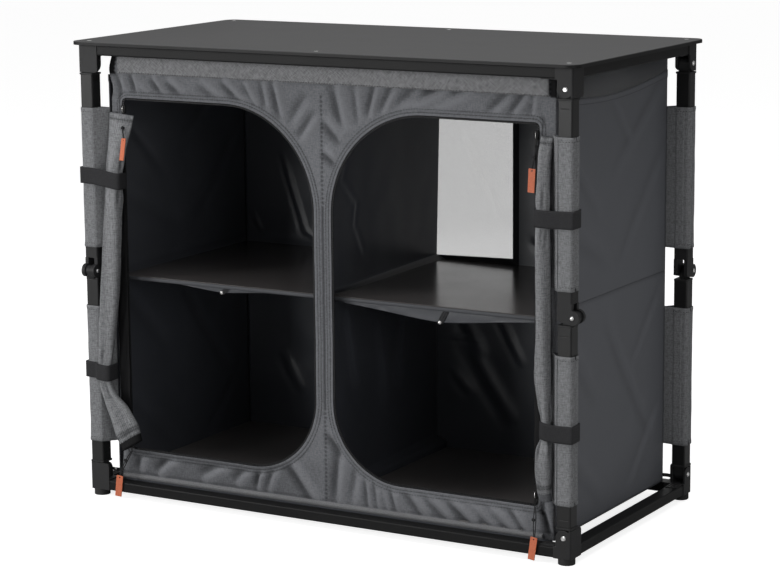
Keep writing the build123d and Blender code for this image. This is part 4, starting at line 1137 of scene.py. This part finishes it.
# A web in plan, at the rear right corner: from the sleeve to the cabinet's corner and back to the sleeve
web_outer = (0.4440, 0.2396)
web_tip = (0.4225, 0.2135)
web_inner = (0.4600, 0.2101)
web_lengths = (math.dist(web_outer, web_tip), math.dist(web_tip, web_inner))
for corner in corners:
    along_depth, along_length = corner.split("_")
    x_sign = 1 if along_length == "right" else -1
    y_sign = 1 if along_depth == "rear" else -1
    for half in ("lower", "upper"):
        node = f"{corner}_{half}_sleeve"
        low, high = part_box(node)
        centre = (low + high) / 2
        seed = centre.x * 31 + centre.y * 17 + centre.z * 5

        def on_sleeve(a, z, proud=0.0):
            """a runs round the sleeve, which is a little thicker at its hems."""
            grown = sleeve_half + 0.0004 * crumple(a, z, 0.03, seed) + proud
            hem = np.clip((0.006 - np.minimum(z - low.z, high.z - z)) / 0.001, 0, 1) * 0.0005
            x, y = round_square(a, grown + hem, sleeve_radius)
            return centre.x + x, centre.y + y, z

        sleeve = lay_grid(f"{node}_cloth", np.linspace(0, 4 * sleeve_quarter, 61),
                          spaced(low.z, high.z, 0.004), on_sleeve, cloth_thickness, sleeve_cloth, lining)
        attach(sleeve, f"{corner}_{half}_leg")
        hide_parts(node)

        ring = np.linspace(0, 4 * sleeve_quarter, 80)
        hems = [row_on(on_sleeve, ring, z, 0.0003) for z in (low.z + 0.007, high.z - 0.007)]
        sleeve_stitches = stitch_rows(f"{node}_stitches", hems)
        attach(sleeve_stitches, f"{corner}_{half}_leg")

        web_path = np.array([web_outer, web_tip, web_inner]) * (x_sign, y_sign)
        web_run = np.array([0, web_lengths[0], sum(web_lengths)])
        if x_sign * y_sign < 0:
            web_path = web_path[::-1]
            web_run = sum(web_lengths) - web_run[::-1]

        def on_web(a, z):
            """a runs along the web's path in plan, and the web is gathered between its ends."""
            gather = 0.0012 * crumple(a, z, 0.025, seed + 3) * np.sin(np.pi * np.clip(a / web_run[-1], 0, 1))
            return (np.interp(a, web_run, web_path[:, 0]) + x_sign * gather * 0.7,
                    np.interp(a, web_run, web_path[:, 1]) - y_sign * gather * 0.5, z)

        web = lay_grid(f"{corner}_{half}_web", spaced(0, web_run[-1], 0.003), spaced(low.z, high.z, 0.006),
                       on_web, cloth_thickness, sleeve_cloth, lining)
        hang(web)


# Hinge strips: where a door leaves its hinge seam, its black lining faces forward before it goes into the
# # roll. Each is a narrow strip of the door's cloth, sewn to the opening's outer edge. Its face is the
# near-black
# # zip cloth, darker than the lining, which paints in the shade beside the roll.

# Pile and floor heights for what lies under the folded front legs, lower than for the rest of the cabinet
under_legs = {"pile": 0.005, "floor": 0.0285}
for name, way in (("right", 1), ("left", -1)):
    def on_hinge(a, z, way=way):
        """The strip's place, slightly billowed. a runs from the opening's edge out to the roll."""
        billow = 0.0016 * crumple(a, z, 0.035, 50.0 + way) + 0.0012 * np.sin(a * 260 + z * 40)
        return (way * (door_outer_edge - 0.0015 + a), front_low.y - 0.0052 - np.abs(billow) - 0.05 * a, z)

    across = spaced(0, 0.020, 0.0025)
    if way < 0:
        across = across[::-1]
    hinge = lay_grid(f"door_hinge_lining_{name}", across, spaced(0.122, 0.668, 0.006), on_hinge,
                     cloth_thickness, zip_cloth, lining)
    hang(hinge, f"rolled_door_{name}", **under_legs)


# Rolled doors: each door is rolled up from its curved edge to its hinge seam, six turns, and is strapped to
# the front leg. The ends flare. The lower end shows the layers of its edge, black on the left and grey on
# the right.
roll_turns = 6
roll_core = 0.30
door_flat = (0.376, 0.612)
# Height, middle and half width across, middle and half depth, down each roll
left_roll = [
    (0.676, -0.3965, 0.0270, -0.2185, 0.0035), (0.658, -0.3980, 0.0248, -0.2205, 0.0045),
    (0.631, -0.3995, 0.0210, -0.2265, 0.0085), (0.600, -0.4022, 0.0180, -0.2320, 0.0100),
    (0.562, -0.4065, 0.0165, -0.2325, 0.0100), (0.530, -0.4080, 0.0175, -0.2330, 0.0112),
    (0.455, -0.4125, 0.0190, -0.2345, 0.0115), (0.349, -0.4195, 0.0195, -0.2365, 0.0112),
    (0.260, -0.4290, 0.0150, -0.2370, 0.0105), (0.224, -0.4325, 0.0128, -0.2370, 0.0090),
    (0.206, -0.4315, 0.0122, -0.2372, 0.0085), (0.186, -0.4232, 0.0140, -0.2375, 0.0095),
    (0.168, -0.4110, 0.0195, -0.2370, 0.0115), (0.145, -0.3985, 0.0218, -0.2365, 0.0125),
    (0.125, -0.3890, 0.0225, -0.2360, 0.0130), (0.110, -0.3830, 0.0210, -0.2355, 0.0130),
    (0.096, -0.3790, 0.0200, -0.2350, 0.0125),
]
right_roll = [
    (0.683, 0.4175, 0.0112, -0.2205, 0.0055), (0.660, 0.4165, 0.0108, -0.2260, 0.0090),
    (0.631, 0.4165, 0.0105, -0.2310, 0.0105), (0.591, 0.4160, 0.0108, -0.2325, 0.0105),
    (0.557, 0.4155, 0.0112, -0.2320, 0.0100), (0.530, 0.4155, 0.0120, -0.2330, 0.0115),
    (0.455, 0.4165, 0.0122, -0.2340, 0.0120), (0.349, 0.4165, 0.0125, -0.2340, 0.0120),
    (0.300, 0.4160, 0.0140, -0.2340, 0.0115), (0.262, 0.4192, 0.0110, -0.2340, 0.0100),
    (0.228, 0.4222, 0.0080, -0.2330, 0.0086), (0.206, 0.4212, 0.0075, -0.2330, 0.0080),
    (0.190, 0.4200, 0.0122, -0.2350, 0.0105), (0.160, 0.4190, 0.0142, -0.2355, 0.0125),
    (0.132, 0.4190, 0.0128, -0.2340, 0.0115), (0.114, 0.4200, 0.0112, -0.2330, 0.0105),
    (0.098, 0.4235, 0.0105, -0.2325, 0.0095),
]
# Each strap's height on the roll and on the leg
strap_heights = {"left": ((0.224, 0.227), (0.562, 0.569)), "right": ((0.218, 0.215), (0.557, 0.557))}


def eased(heights, values, z):
    """Values at heights, joined by smooth curves."""
    order = np.argsort(heights)
    heights, values = np.array(heights)[order], np.array(values)[order]
    slopes = np.gradient(values, heights)
    k = np.clip(np.searchsorted(heights, z) - 1, 0, len(heights) - 2)
    width = heights[k + 1] - heights[k]
    t = np.clip((z - heights[k]) / width, 0, 1)
    return (values[k] * (2 * t**3 - 3 * t**2 + 1) + slopes[k] * width * (t**3 - 2 * t**2 + t)
            + values[k + 1] * (3 * t**2 - 2 * t**3) + slopes[k + 1] * width * (t**3 - t**2))


def roll_shape(keys, z):
    """Middle and half width across, and middle and half depth, of a roll at heights."""
    heights = [key[0] for key in keys]
    return [eased(heights, [key[k] for key in keys], z) for k in range(1, 5)]


def roll_pleats(angle, z, seed, side):
    """Soft lengthwise pleats of the outer turns, deepest beside the straps that gather them."""
    on_roll = [strap[0] for strap in strap_heights[side]]
    beside_strap = sum(np.exp(-((np.abs(z - strap_z) - 0.030) / 0.016) ** 2) for strap_z in on_roll)
    under_strap = sum(np.exp(-((z - strap_z) / 0.013) ** 4) for strap_z in on_roll)
    waves = 0.06 * np.sin(3 * angle + 9 * z + seed) + 0.045 * np.sin(7 * angle - 30 * z) * beside_strap
    return waves * (0.6 + beside_strap) * (1 - 0.85 * under_strap)


def roll_angle(a, way):
    """The angle round the roll, where a runs from 0 at the core to 1 at the hinge seam."""
    return way * (2 * math.pi * roll_turns * (a - 1)) + math.pi / 2


def rolled(keys, way, seed, lean, side):
    """The place of each point of a rolled door. Its ends lean with the roll's own axis."""
    def place(a, z, proud=0.0):
        middle_x, half_x, middle_y, half_y = roll_shape(keys, z)
        angle = roll_angle(a, way)
        squarish = (np.abs(np.cos(angle)) ** 3 + np.abs(np.sin(angle)) ** 3) ** (-1 / 3)
        turn_radius = (roll_core + (1 - roll_core) * a) * (0.6 + 0.4 * squarish)
        reach = turn_radius * (1 + roll_pleats(angle, z, seed, side))
        soft = 0.0009 * crumple(a * 9, z, 0.04, seed)
        x = middle_x + (reach * half_x + proud) * np.cos(angle) + soft
        y = middle_y + (reach * half_y + proud) * np.sin(angle) + soft
        low_end = np.clip((0.19 - z) / 0.07, 0, 1)
        high_end = np.clip((z - 0.62) / 0.05, 0, 1)
        return x, y, z + lean * (x - middle_x) * low_end - 0.09 * (x - middle_x) * high_end
    return place


for name, keys, way, lean in (("left", left_roll, -1, 0.6), ("right", right_roll, 1, 0.05)):
    seed = 40.0 + way
    place_on_roll = rolled(keys, way, seed, lean, name)
    roll_top = keys[0][0]
    hem_end = keys[-2][0]

    hem_rows = (hem_end + 0.009, hem_end + 0.014, roll_top - 0.009)

    def roll_shade(a, z, way=way, seed=seed, side=name, hem_rows=hem_rows):
        """Painted light and shade on the pleats, and painted shade along the hems' stitches."""
        hems = sum(np.exp(-((z - row) / 0.0015) ** 2) for row in hem_rows)
        return np.clip(roll_pleats(roll_angle(a, way), z, seed, side) * 5, -0.6, 0.6) - 0.5 * hems

    turn = np.linspace(0, 1, roll_turns * 36 + 1)
    if way < 0:
        turn = turn[::-1]
    cloth_piece = lay_grid(f"rolled_door_cloth_{name}", turn, spaced(hem_end, roll_top, 0.0045),
                           place_on_roll, 0.0007, sleeve_cloth, lining, shade_at=roll_shade)
    end_cloth = zip_cloth if name == "left" else front_cloth
    zip_layers = lay_grid(f"rolled_door_zip_{name}", turn, spaced(hem_end - 0.012, hem_end + 0.001, 0.0026),
                          place_on_roll, 0.0010, end_cloth, zip_cloth, shade_at=lambda a, z: -0.5)
    # The turns were counted from 0 to 1, so the flat cut is stretched to the door's width
    for piece in (cloth_piece, zip_layers):
        threads_of_cut = piece.data.uv_layers["cut"].data
        cut = np.empty(len(threads_of_cut) * 2, dtype=np.float32)
        threads_of_cut.foreach_get("uv", cut)
        cut[0::2] *= door_flat[0]
        threads_of_cut.foreach_set("uv", cut)
        hang(piece, f"rolled_door_{name}", **under_legs)

    last_turn = np.linspace(1 - 1 / roll_turns, 1, 60)
    hems = [row_on(place_on_roll, last_turn, z, 0.0003) for z in hem_rows]
    roll_stitches = stitch_rows(f"rolled_door_stitches_{name}", hems)
    hang(roll_stitches, f"rolled_door_{name}", **under_legs)


# Door straps: black webbing with hook and loop, two on each side. Each starts behind the roll at the
# opening's edge, runs round the front of the roll and of the leg's sleeve, and ends behind the sleeve.
def smooth_path(corner_points, step):
    """Evenly spaced points on a rounded line through the given points."""
    curve = bpy.data.curves.new("guide", "CURVE")
    curve.dimensions = "3D"
    curve.resolution_u = 12
    spline = curve.splines.new("NURBS")
    spline.points.add(len(corner_points) - 1)
    for point, place in zip(spline.points, corner_points):
        point.co = (*place, 1)
    spline.order_u = 3
    spline.use_endpoint_u = True
    guide = bpy.data.objects.new("guide", curve)
    mesh = bpy.data.meshes.new_from_object(guide)
    line = np.array([tuple(v.co) for v in mesh.vertices])
    bpy.data.objects.remove(guide)
    bpy.data.curves.remove(curve)
    bpy.data.meshes.remove(mesh)
    along = np.concatenate([[0], np.cumsum(np.linalg.norm(np.diff(line, axis=0), axis=1))])
    even = np.linspace(0, along[-1], max(2, round(along[-1] / step) + 1))
    return even, np.stack([np.interp(even, along, line[:, k]) for k in range(3)], axis=1)


strap_half_height = 0.014
strap_outer = 0.4728
for name, keys, side in (("left", left_roll, -1), ("right", right_roll, 1)):
    for level_name, (strap_z, leg_z) in zip(("lower", "upper"), strap_heights[name]):
        middle_x, half_x, middle_y, half_y = [float(v) for v in roll_shape(keys, np.array(strap_z))]
        near = abs(middle_x) - half_x
        far = abs(middle_x) + half_x
        front = middle_y - half_y - 0.0020
        drop = leg_z - strap_z
        # Round the roll, across to the sleeve, and round the sleeve's front, outer side and back
        route = [(near + 0.006, -0.2126, 0), (near - 0.0012, -0.2160, 0), (near - 0.0018, middle_y, 0),
                 (near - 0.0012, front + 0.0020, 0), (near + 0.0050, front - 0.0006, 0),
                 (abs(middle_x), front - 0.0006, 0.3 * drop), (far - 0.0020, front - 0.0003, 0.6 * drop),
                 (max(far + 0.0030, 0.4430), min(front + 0.0030, -0.2418), drop),
                 (0.4500, -0.2412, drop), (0.4690, -0.2412, drop), (strap_outer, -0.2412, drop),
                 (strap_outer, -0.2380, drop), (strap_outer, -0.2170, drop),
                 (strap_outer, -0.2118, drop + 0.001), (0.4700, -0.2108, drop + 0.001),
                 (0.4650, -0.2106, drop + 0.001)]
        if side < 0:
            route = [(-x, y, z) for x, y, z in route][::-1]
        distance, line = smooth_path(route, 0.0025)

        def on_strap(a, b, line=line, distance=distance, strap_z=strap_z):
            """a runs along the strap's route, and b up its height."""
            x, y, rise = [np.interp(a, distance, line[:, k]) for k in range(3)]
            return x, y, strap_z + b + rise + 0.0004 * np.sin(a * 70)

        strap = lay_grid(f"door_strap_{name}_{level_name}", distance,
                         spaced(-strap_half_height, strap_half_height, 0.0035), on_strap, 0.0014,
                         tape_webbing, tape_webbing)
        hang(strap, "door_straps", **under_legs)


# Zip sliders, pull cords and tabs: a black coated slider with a bright bridge and a leaf, a knotted black
# cord from the leaf's hole, and a flat orange tab of rubber. The lower pulls have two strands of thinner
# cord.
tab_rubber, tree, shader = new_material("tab_rubber", {"Roughness": 0.55, "Specular IOR Level": 0.4,
                                                       "Subsurface Weight": 0.05})
place = add_node(tree, "TexCoord").outputs["Object"]
fibres = add_node(tree, "TexNoise", {"Vector": place, "Scale": 500.0, "Detail": 4.0}).outputs["Fac"]
relief = add_node(tree, "Bump", {"Height": fibres, "Strength": 0.3, "Distance": 0.0003})
tree.links.new(mixed(tree, fibres, (0.50, 0.105, 0.045), (0.76, 0.22, 0.11)), shader.inputs["Base Color"])
tree.links.new(relief.outputs["Normal"], shader.inputs["Normal"])
cord_fibre, tree, shader = new_material("cord_fibre", {"Roughness": 0.7, "Specular IOR Level": 0.3})
place = add_node(tree, "TexCoord").outputs["Object"]
braid = add_node(tree, "TexWave", {"Vector": place, "Scale": 700.0, "Distortion": 1.0}).outputs["Fac"]
tree.links.new(mixed(tree, braid, (0.010, 0.010, 0.011), (0.035, 0.035, 0.037)), shader.inputs["Base Color"])


def cut_plate(name, outlines, thickness, rounding, middle, material):
    """A plate with rounded edges, cut along (x, z) outlines of which the later ones are holes, and moved so
    that its middle is at a place."""
    curve = bpy.data.curves.new(name, "CURVE")
    curve.dimensions = "2D"
    curve.fill_mode = "BOTH"
    curve.extrude = thickness / 2 - rounding
    curve.bevel_depth = rounding
    curve.bevel_resolution = 2
    curve.offset = -rounding
    for outline in outlines:
        spline = curve.splines.new("POLY")
        spline.points.add(len(outline) - 1)
        for point, (x, z) in zip(spline.points, outline):
            point.co = (x, z, 0, 1)
        spline.use_cyclic_u = True
    solid = bpy.data.objects.new(name, curve)
    mesh = bpy.data.meshes.new_from_object(solid)
    bpy.data.objects.remove(solid)
    bpy.data.curves.remove(curve)
    mesh.transform(Matrix.Translation(Vector(middle)) @ Matrix.Rotation(math.radians(90), 4, "X"))
    mesh.materials.clear()
    mesh.materials.append(material)
    piece = bpy.data.objects.new(name, mesh)
    bpy.context.collection.objects.link(piece)
    return piece


def circle(x, z, radius, steps=14):
    """The outline of a round plate or hole."""
    return [(x + radius * math.cos(2 * math.pi * i / steps), z + radius * math.sin(2 * math.pi * i / steps))
            for i in range(steps)]


def rounded_strip(half_width, low, high, steps=7):
    """The outline of a strip with round ends."""
    top = [(half_width * math.cos(t), high - half_width + half_width * math.sin(t))
           for t in np.linspace(0, math.pi, steps)]
    bottom = [(half_width * math.cos(t), low + half_width + half_width * math.sin(t))
              for t in np.linspace(math.pi, 2 * math.pi, steps)]
    return top + bottom


def joined(name, pieces):
    """One piece from several."""
    with bpy.context.temp_override(active_object=pieces[0], selected_editable_objects=pieces):
        bpy.ops.object.join()
    pieces[0].name = name
    return pieces[0]


def tube_along(name, line, radius, material, tube_sides=10):
    """A round cord along a line of points."""
    line = [Vector(p) for p in line]
    across = Vector((1, 0, 0))
    points = []
    for i, place in enumerate(line):
        direction = (line[min(i + 1, len(line) - 1)] - line[max(i - 1, 0)]).normalized()
        across = (across - direction * across.dot(direction)).normalized()
        other = direction.cross(across)
        for k in range(tube_sides):
            t = 2 * math.pi * k / tube_sides
            points.append(tuple(place + (across * math.cos(t) + other * math.sin(t)) * radius))
    faces = []
    for i in range(len(line) - 1):
        near = i * tube_sides
        far = near + tube_sides
        for k in range(tube_sides):
            j = (k + 1) % tube_sides
            faces.append((near + k, near + j, far + j, far + k))
    faces.append(tuple(range(tube_sides))[::-1])
    faces.append(tuple(range((len(line) - 1) * tube_sides, len(line) * tube_sides)))
    mesh = bpy.data.meshes.new(name)
    mesh.from_pydata(points, [], faces)
    mesh.shade_smooth()
    mesh.materials.append(material)
    piece = bpy.data.objects.new(name, mesh)
    bpy.context.collection.objects.link(piece)
    return piece


slider_x = 0.3954
slider_front = -0.21715
leaf_face = -0.21655
leaf_drop = 0.021
cord_radius = 0.0012
shield = [(-0.0045, 0.0045), (-0.0032, 0.0070), (0.0032, 0.0070), (0.0045, 0.0045), (0.0036, -0.0060),
          (0.0022, -0.0070), (-0.0022, -0.0070), (-0.0036, -0.0060)]
# The bridge over a slider, as (how far behind the slider's front, how far above its middle)
bridge_arch = [(0.0012, 0.0056), (-0.0008, 0.0040), (-0.0011, 0), (-0.0008, -0.0040), (0.0012, -0.0056)]
tab_outline = [(-0.0060, -0.0184), (-0.0054, -0.0190), (0.0054, -0.0190), (0.0060, -0.0184), (0.0060, 0.0184),
               (0.0054, 0.0190), (-0.0054, 0.0190), (-0.0060, 0.0184)]
# Each pull: its side, its slider's height, its tab's middle, and how far the tab turns about X, Y and Z
pulls = {
    "upper_left": (-1, 0.684, (-0.3780, -0.2440, 0.6190), -12, 0, -20),
    "upper_right": (1, 0.684, (0.3885, -0.2176, 0.6120), 0, 3, 0),
    "lower_left": (-1, 0.104, (-0.4080, -0.2405, 0.0230), 0, 7, 12),
    "lower_right": (1, 0.104, (0.4030, -0.2405, 0.0225), 0, 8, 0),
}
for pull, (side, slider_z, tab_middle, about_x, about_y, about_z) in pulls.items():
    body_x = side * slider_x
    front_plate = cut_plate("front_plate", [shield], 0.0016, 0.0005,
                            (body_x, slider_front + 0.0018, slider_z), powder_coat)
    rear_plate = cut_plate("rear_plate", [shield], 0.0012, 0.0004,
                           (body_x, slider_front + 0.0043, slider_z), powder_coat)
    post = cut_plate("post", [circle(0, 0.003, 0.0016)], 0.0030, 0.0002,
                     (body_x, slider_front + 0.0031, slider_z), powder_coat)
    bridge = tube_along("bridge", [(body_x, slider_front + behind, slider_z + above)
                                   for behind, above in bridge_arch], 0.0007, bright_nickel, 8)
    leaf_cuts = [rounded_strip(0.0021, -leaf_drop, 0.0015), circle(0, -leaf_drop + 0.0024, 0.0011),
                 circle(0, -0.0008, 0.0010)]
    leaf = cut_plate("leaf", leaf_cuts, 0.0009, 0.0002, (body_x, leaf_face, slider_z), powder_coat)
    slider = joined(f"zip_slider_{pull}", [front_plate, rear_plate, post, bridge, leaf])

    tab = cut_plate(f"pull_tab_{pull}", [tab_outline, circle(0, 0.0155, 0.0013)], 0.0016, 0.0004, (0, 0, 0),
                    tab_rubber)
    turn = (Matrix.Rotation(math.radians(about_y), 4, "Y") @ Matrix.Rotation(math.radians(about_x), 4, "X")
            @ Matrix.Rotation(math.radians(about_z), 4, "Z"))
    tab.data.transform(Matrix.Translation(Vector(tab_middle)) @ turn)
    tab_top = Vector(tab_middle) + turn @ Vector((0, 0, 0.0195))
    start = Vector((body_x, leaf_face, slider_z - leaf_drop - 0.0005))

    strands = []
    strand_count = 1 if pull.startswith("upper") else 2
    for strand in range(strand_count):
        spread = 0.0 if strand_count == 1 else 0.0016 * (2 * strand - 1)
        middle = start + (tab_top - start) * 0.45 + Vector((side * 0.00125 + 2 * spread, -0.0025, 0))
        ends = [start + Vector((spread / 2, 0, 0)), tab_top + Vector((spread / 2, 0, 0))]
        distance, line = smooth_path([tuple(ends[0]), tuple(middle), tuple(ends[1])], 0.0012)
        radius = cord_radius if strand_count == 1 else 0.75 * cord_radius
        pull_cord = tube_along(f"pull_cord_{pull}_{strand + 1}", line, radius, cord_fibre)
        strands.append((pull_cord, distance, line, radius))
    first_line = strands[0][2]
    knot_place = Vector(first_line[int(len(first_line) * 0.42)])
    # The knot is a trefoil of cord, a little under half way down the first strand
    knot_line = [knot_place + Vector((math.sin(t) + 2 * math.sin(2 * t), 1.4 * math.sin(3 * t),
                                      1.2 * (math.cos(t) - 2 * math.cos(2 * t)))) * 0.00080
                 for t in np.linspace(0, 2 * math.pi, 40)]
    knot = tube_along(f"cord_knot_{pull}", knot_line, 0.00115, cord_fibre, 8)

    hang(slider, "zip_sliders")
    hang(tab, "zip_pull_tabs")
    for piece in [knot] + [strand[0] for strand in strands]:
        hang(piece, "zip_pull_cords")
    for pull_cord, distance, line, radius in strands:
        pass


# Corner ties: a short strip of black elastic from each lower corner of the cabinet to the bracket beside it,
# fastened with a press stud.
tie_face = 0.2093
tie_height = 0.043
tie_length = 0.016
tie_start = 0.4283
tie_stud_x = 0.4363
tie_stud = [(0.0028, 0.0), (0.0029, 0.0006), (0.0024, 0.0013), (0.0012, 0.0018)]
for corner in corners:
    along_depth, along_length = corner.split("_")
    x_sign = 1 if along_length == "right" else -1
    y_sign = 1 if along_depth == "rear" else -1

    def on_tie(a, b, x_sign=x_sign, y_sign=y_sign):
        """a runs along the tie, so that its outer face always looks away from the cabinet."""
        travel = a if x_sign * y_sign < 0 else tie_length - a
        bow = 0.0016 * np.sin(np.pi * travel / tie_length)
        return x_sign * (tie_start + travel), y_sign * (tie_face + bow), tie_height + b

    tie = lay_grid(f"corner_tie_{corner}", spaced(0, tie_length, 0.002), spaced(-0.003, 0.003, 0.0015),
                   on_tie, 0.0010, tape_webbing, tape_webbing)
    stud = turned_piece(f"corner_tie_stud_{corner}", tie_stud, (0, 0, 0), 16, bright_nickel)
    facing = Matrix.Identity(4) if y_sign < 0 else Matrix.Rotation(math.pi, 4, "Z")
    stud_place = Vector((x_sign * tie_stud_x, y_sign * (tie_face + 0.0018), tie_height))
    stud.data.transform(Matrix.Translation(stud_place) @ facing)
    for piece in (tie, stud):
        hang(piece, "corner_ties")


# Knuckle rivets: the two halves of a leg turn on a rivet through the knuckle. It shows as a bare aluminium
# head on both sides, carried by the upper half.
knuckle_head = [(0.0034, 0.0), (0.0034, 0.0005), (0.0024, 0.0013), (0.0009, 0.0016)]
for corner in corners:
    joint = next(j for j in frame["joints"] if j["name"] == f"{corner}_knuckle")
    pin = Vector(joint["pos_m"])
    axis = Vector(joint["axis"])
    for side, way in (("inner", 1), ("outer", -1)):
        head = turned_piece(f"knuckle_rivet_{corner}_{side}", knuckle_head, (0, 0, 0), 20, rivet_aluminium)
        facing = Vector((0, -1, 0)).rotation_difference(axis * way).to_matrix().to_4x4()
        head.data.transform(Matrix.Translation(pin + axis * way * 0.0137) @ facing)
        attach(head, f"{corner}_upper_leg")
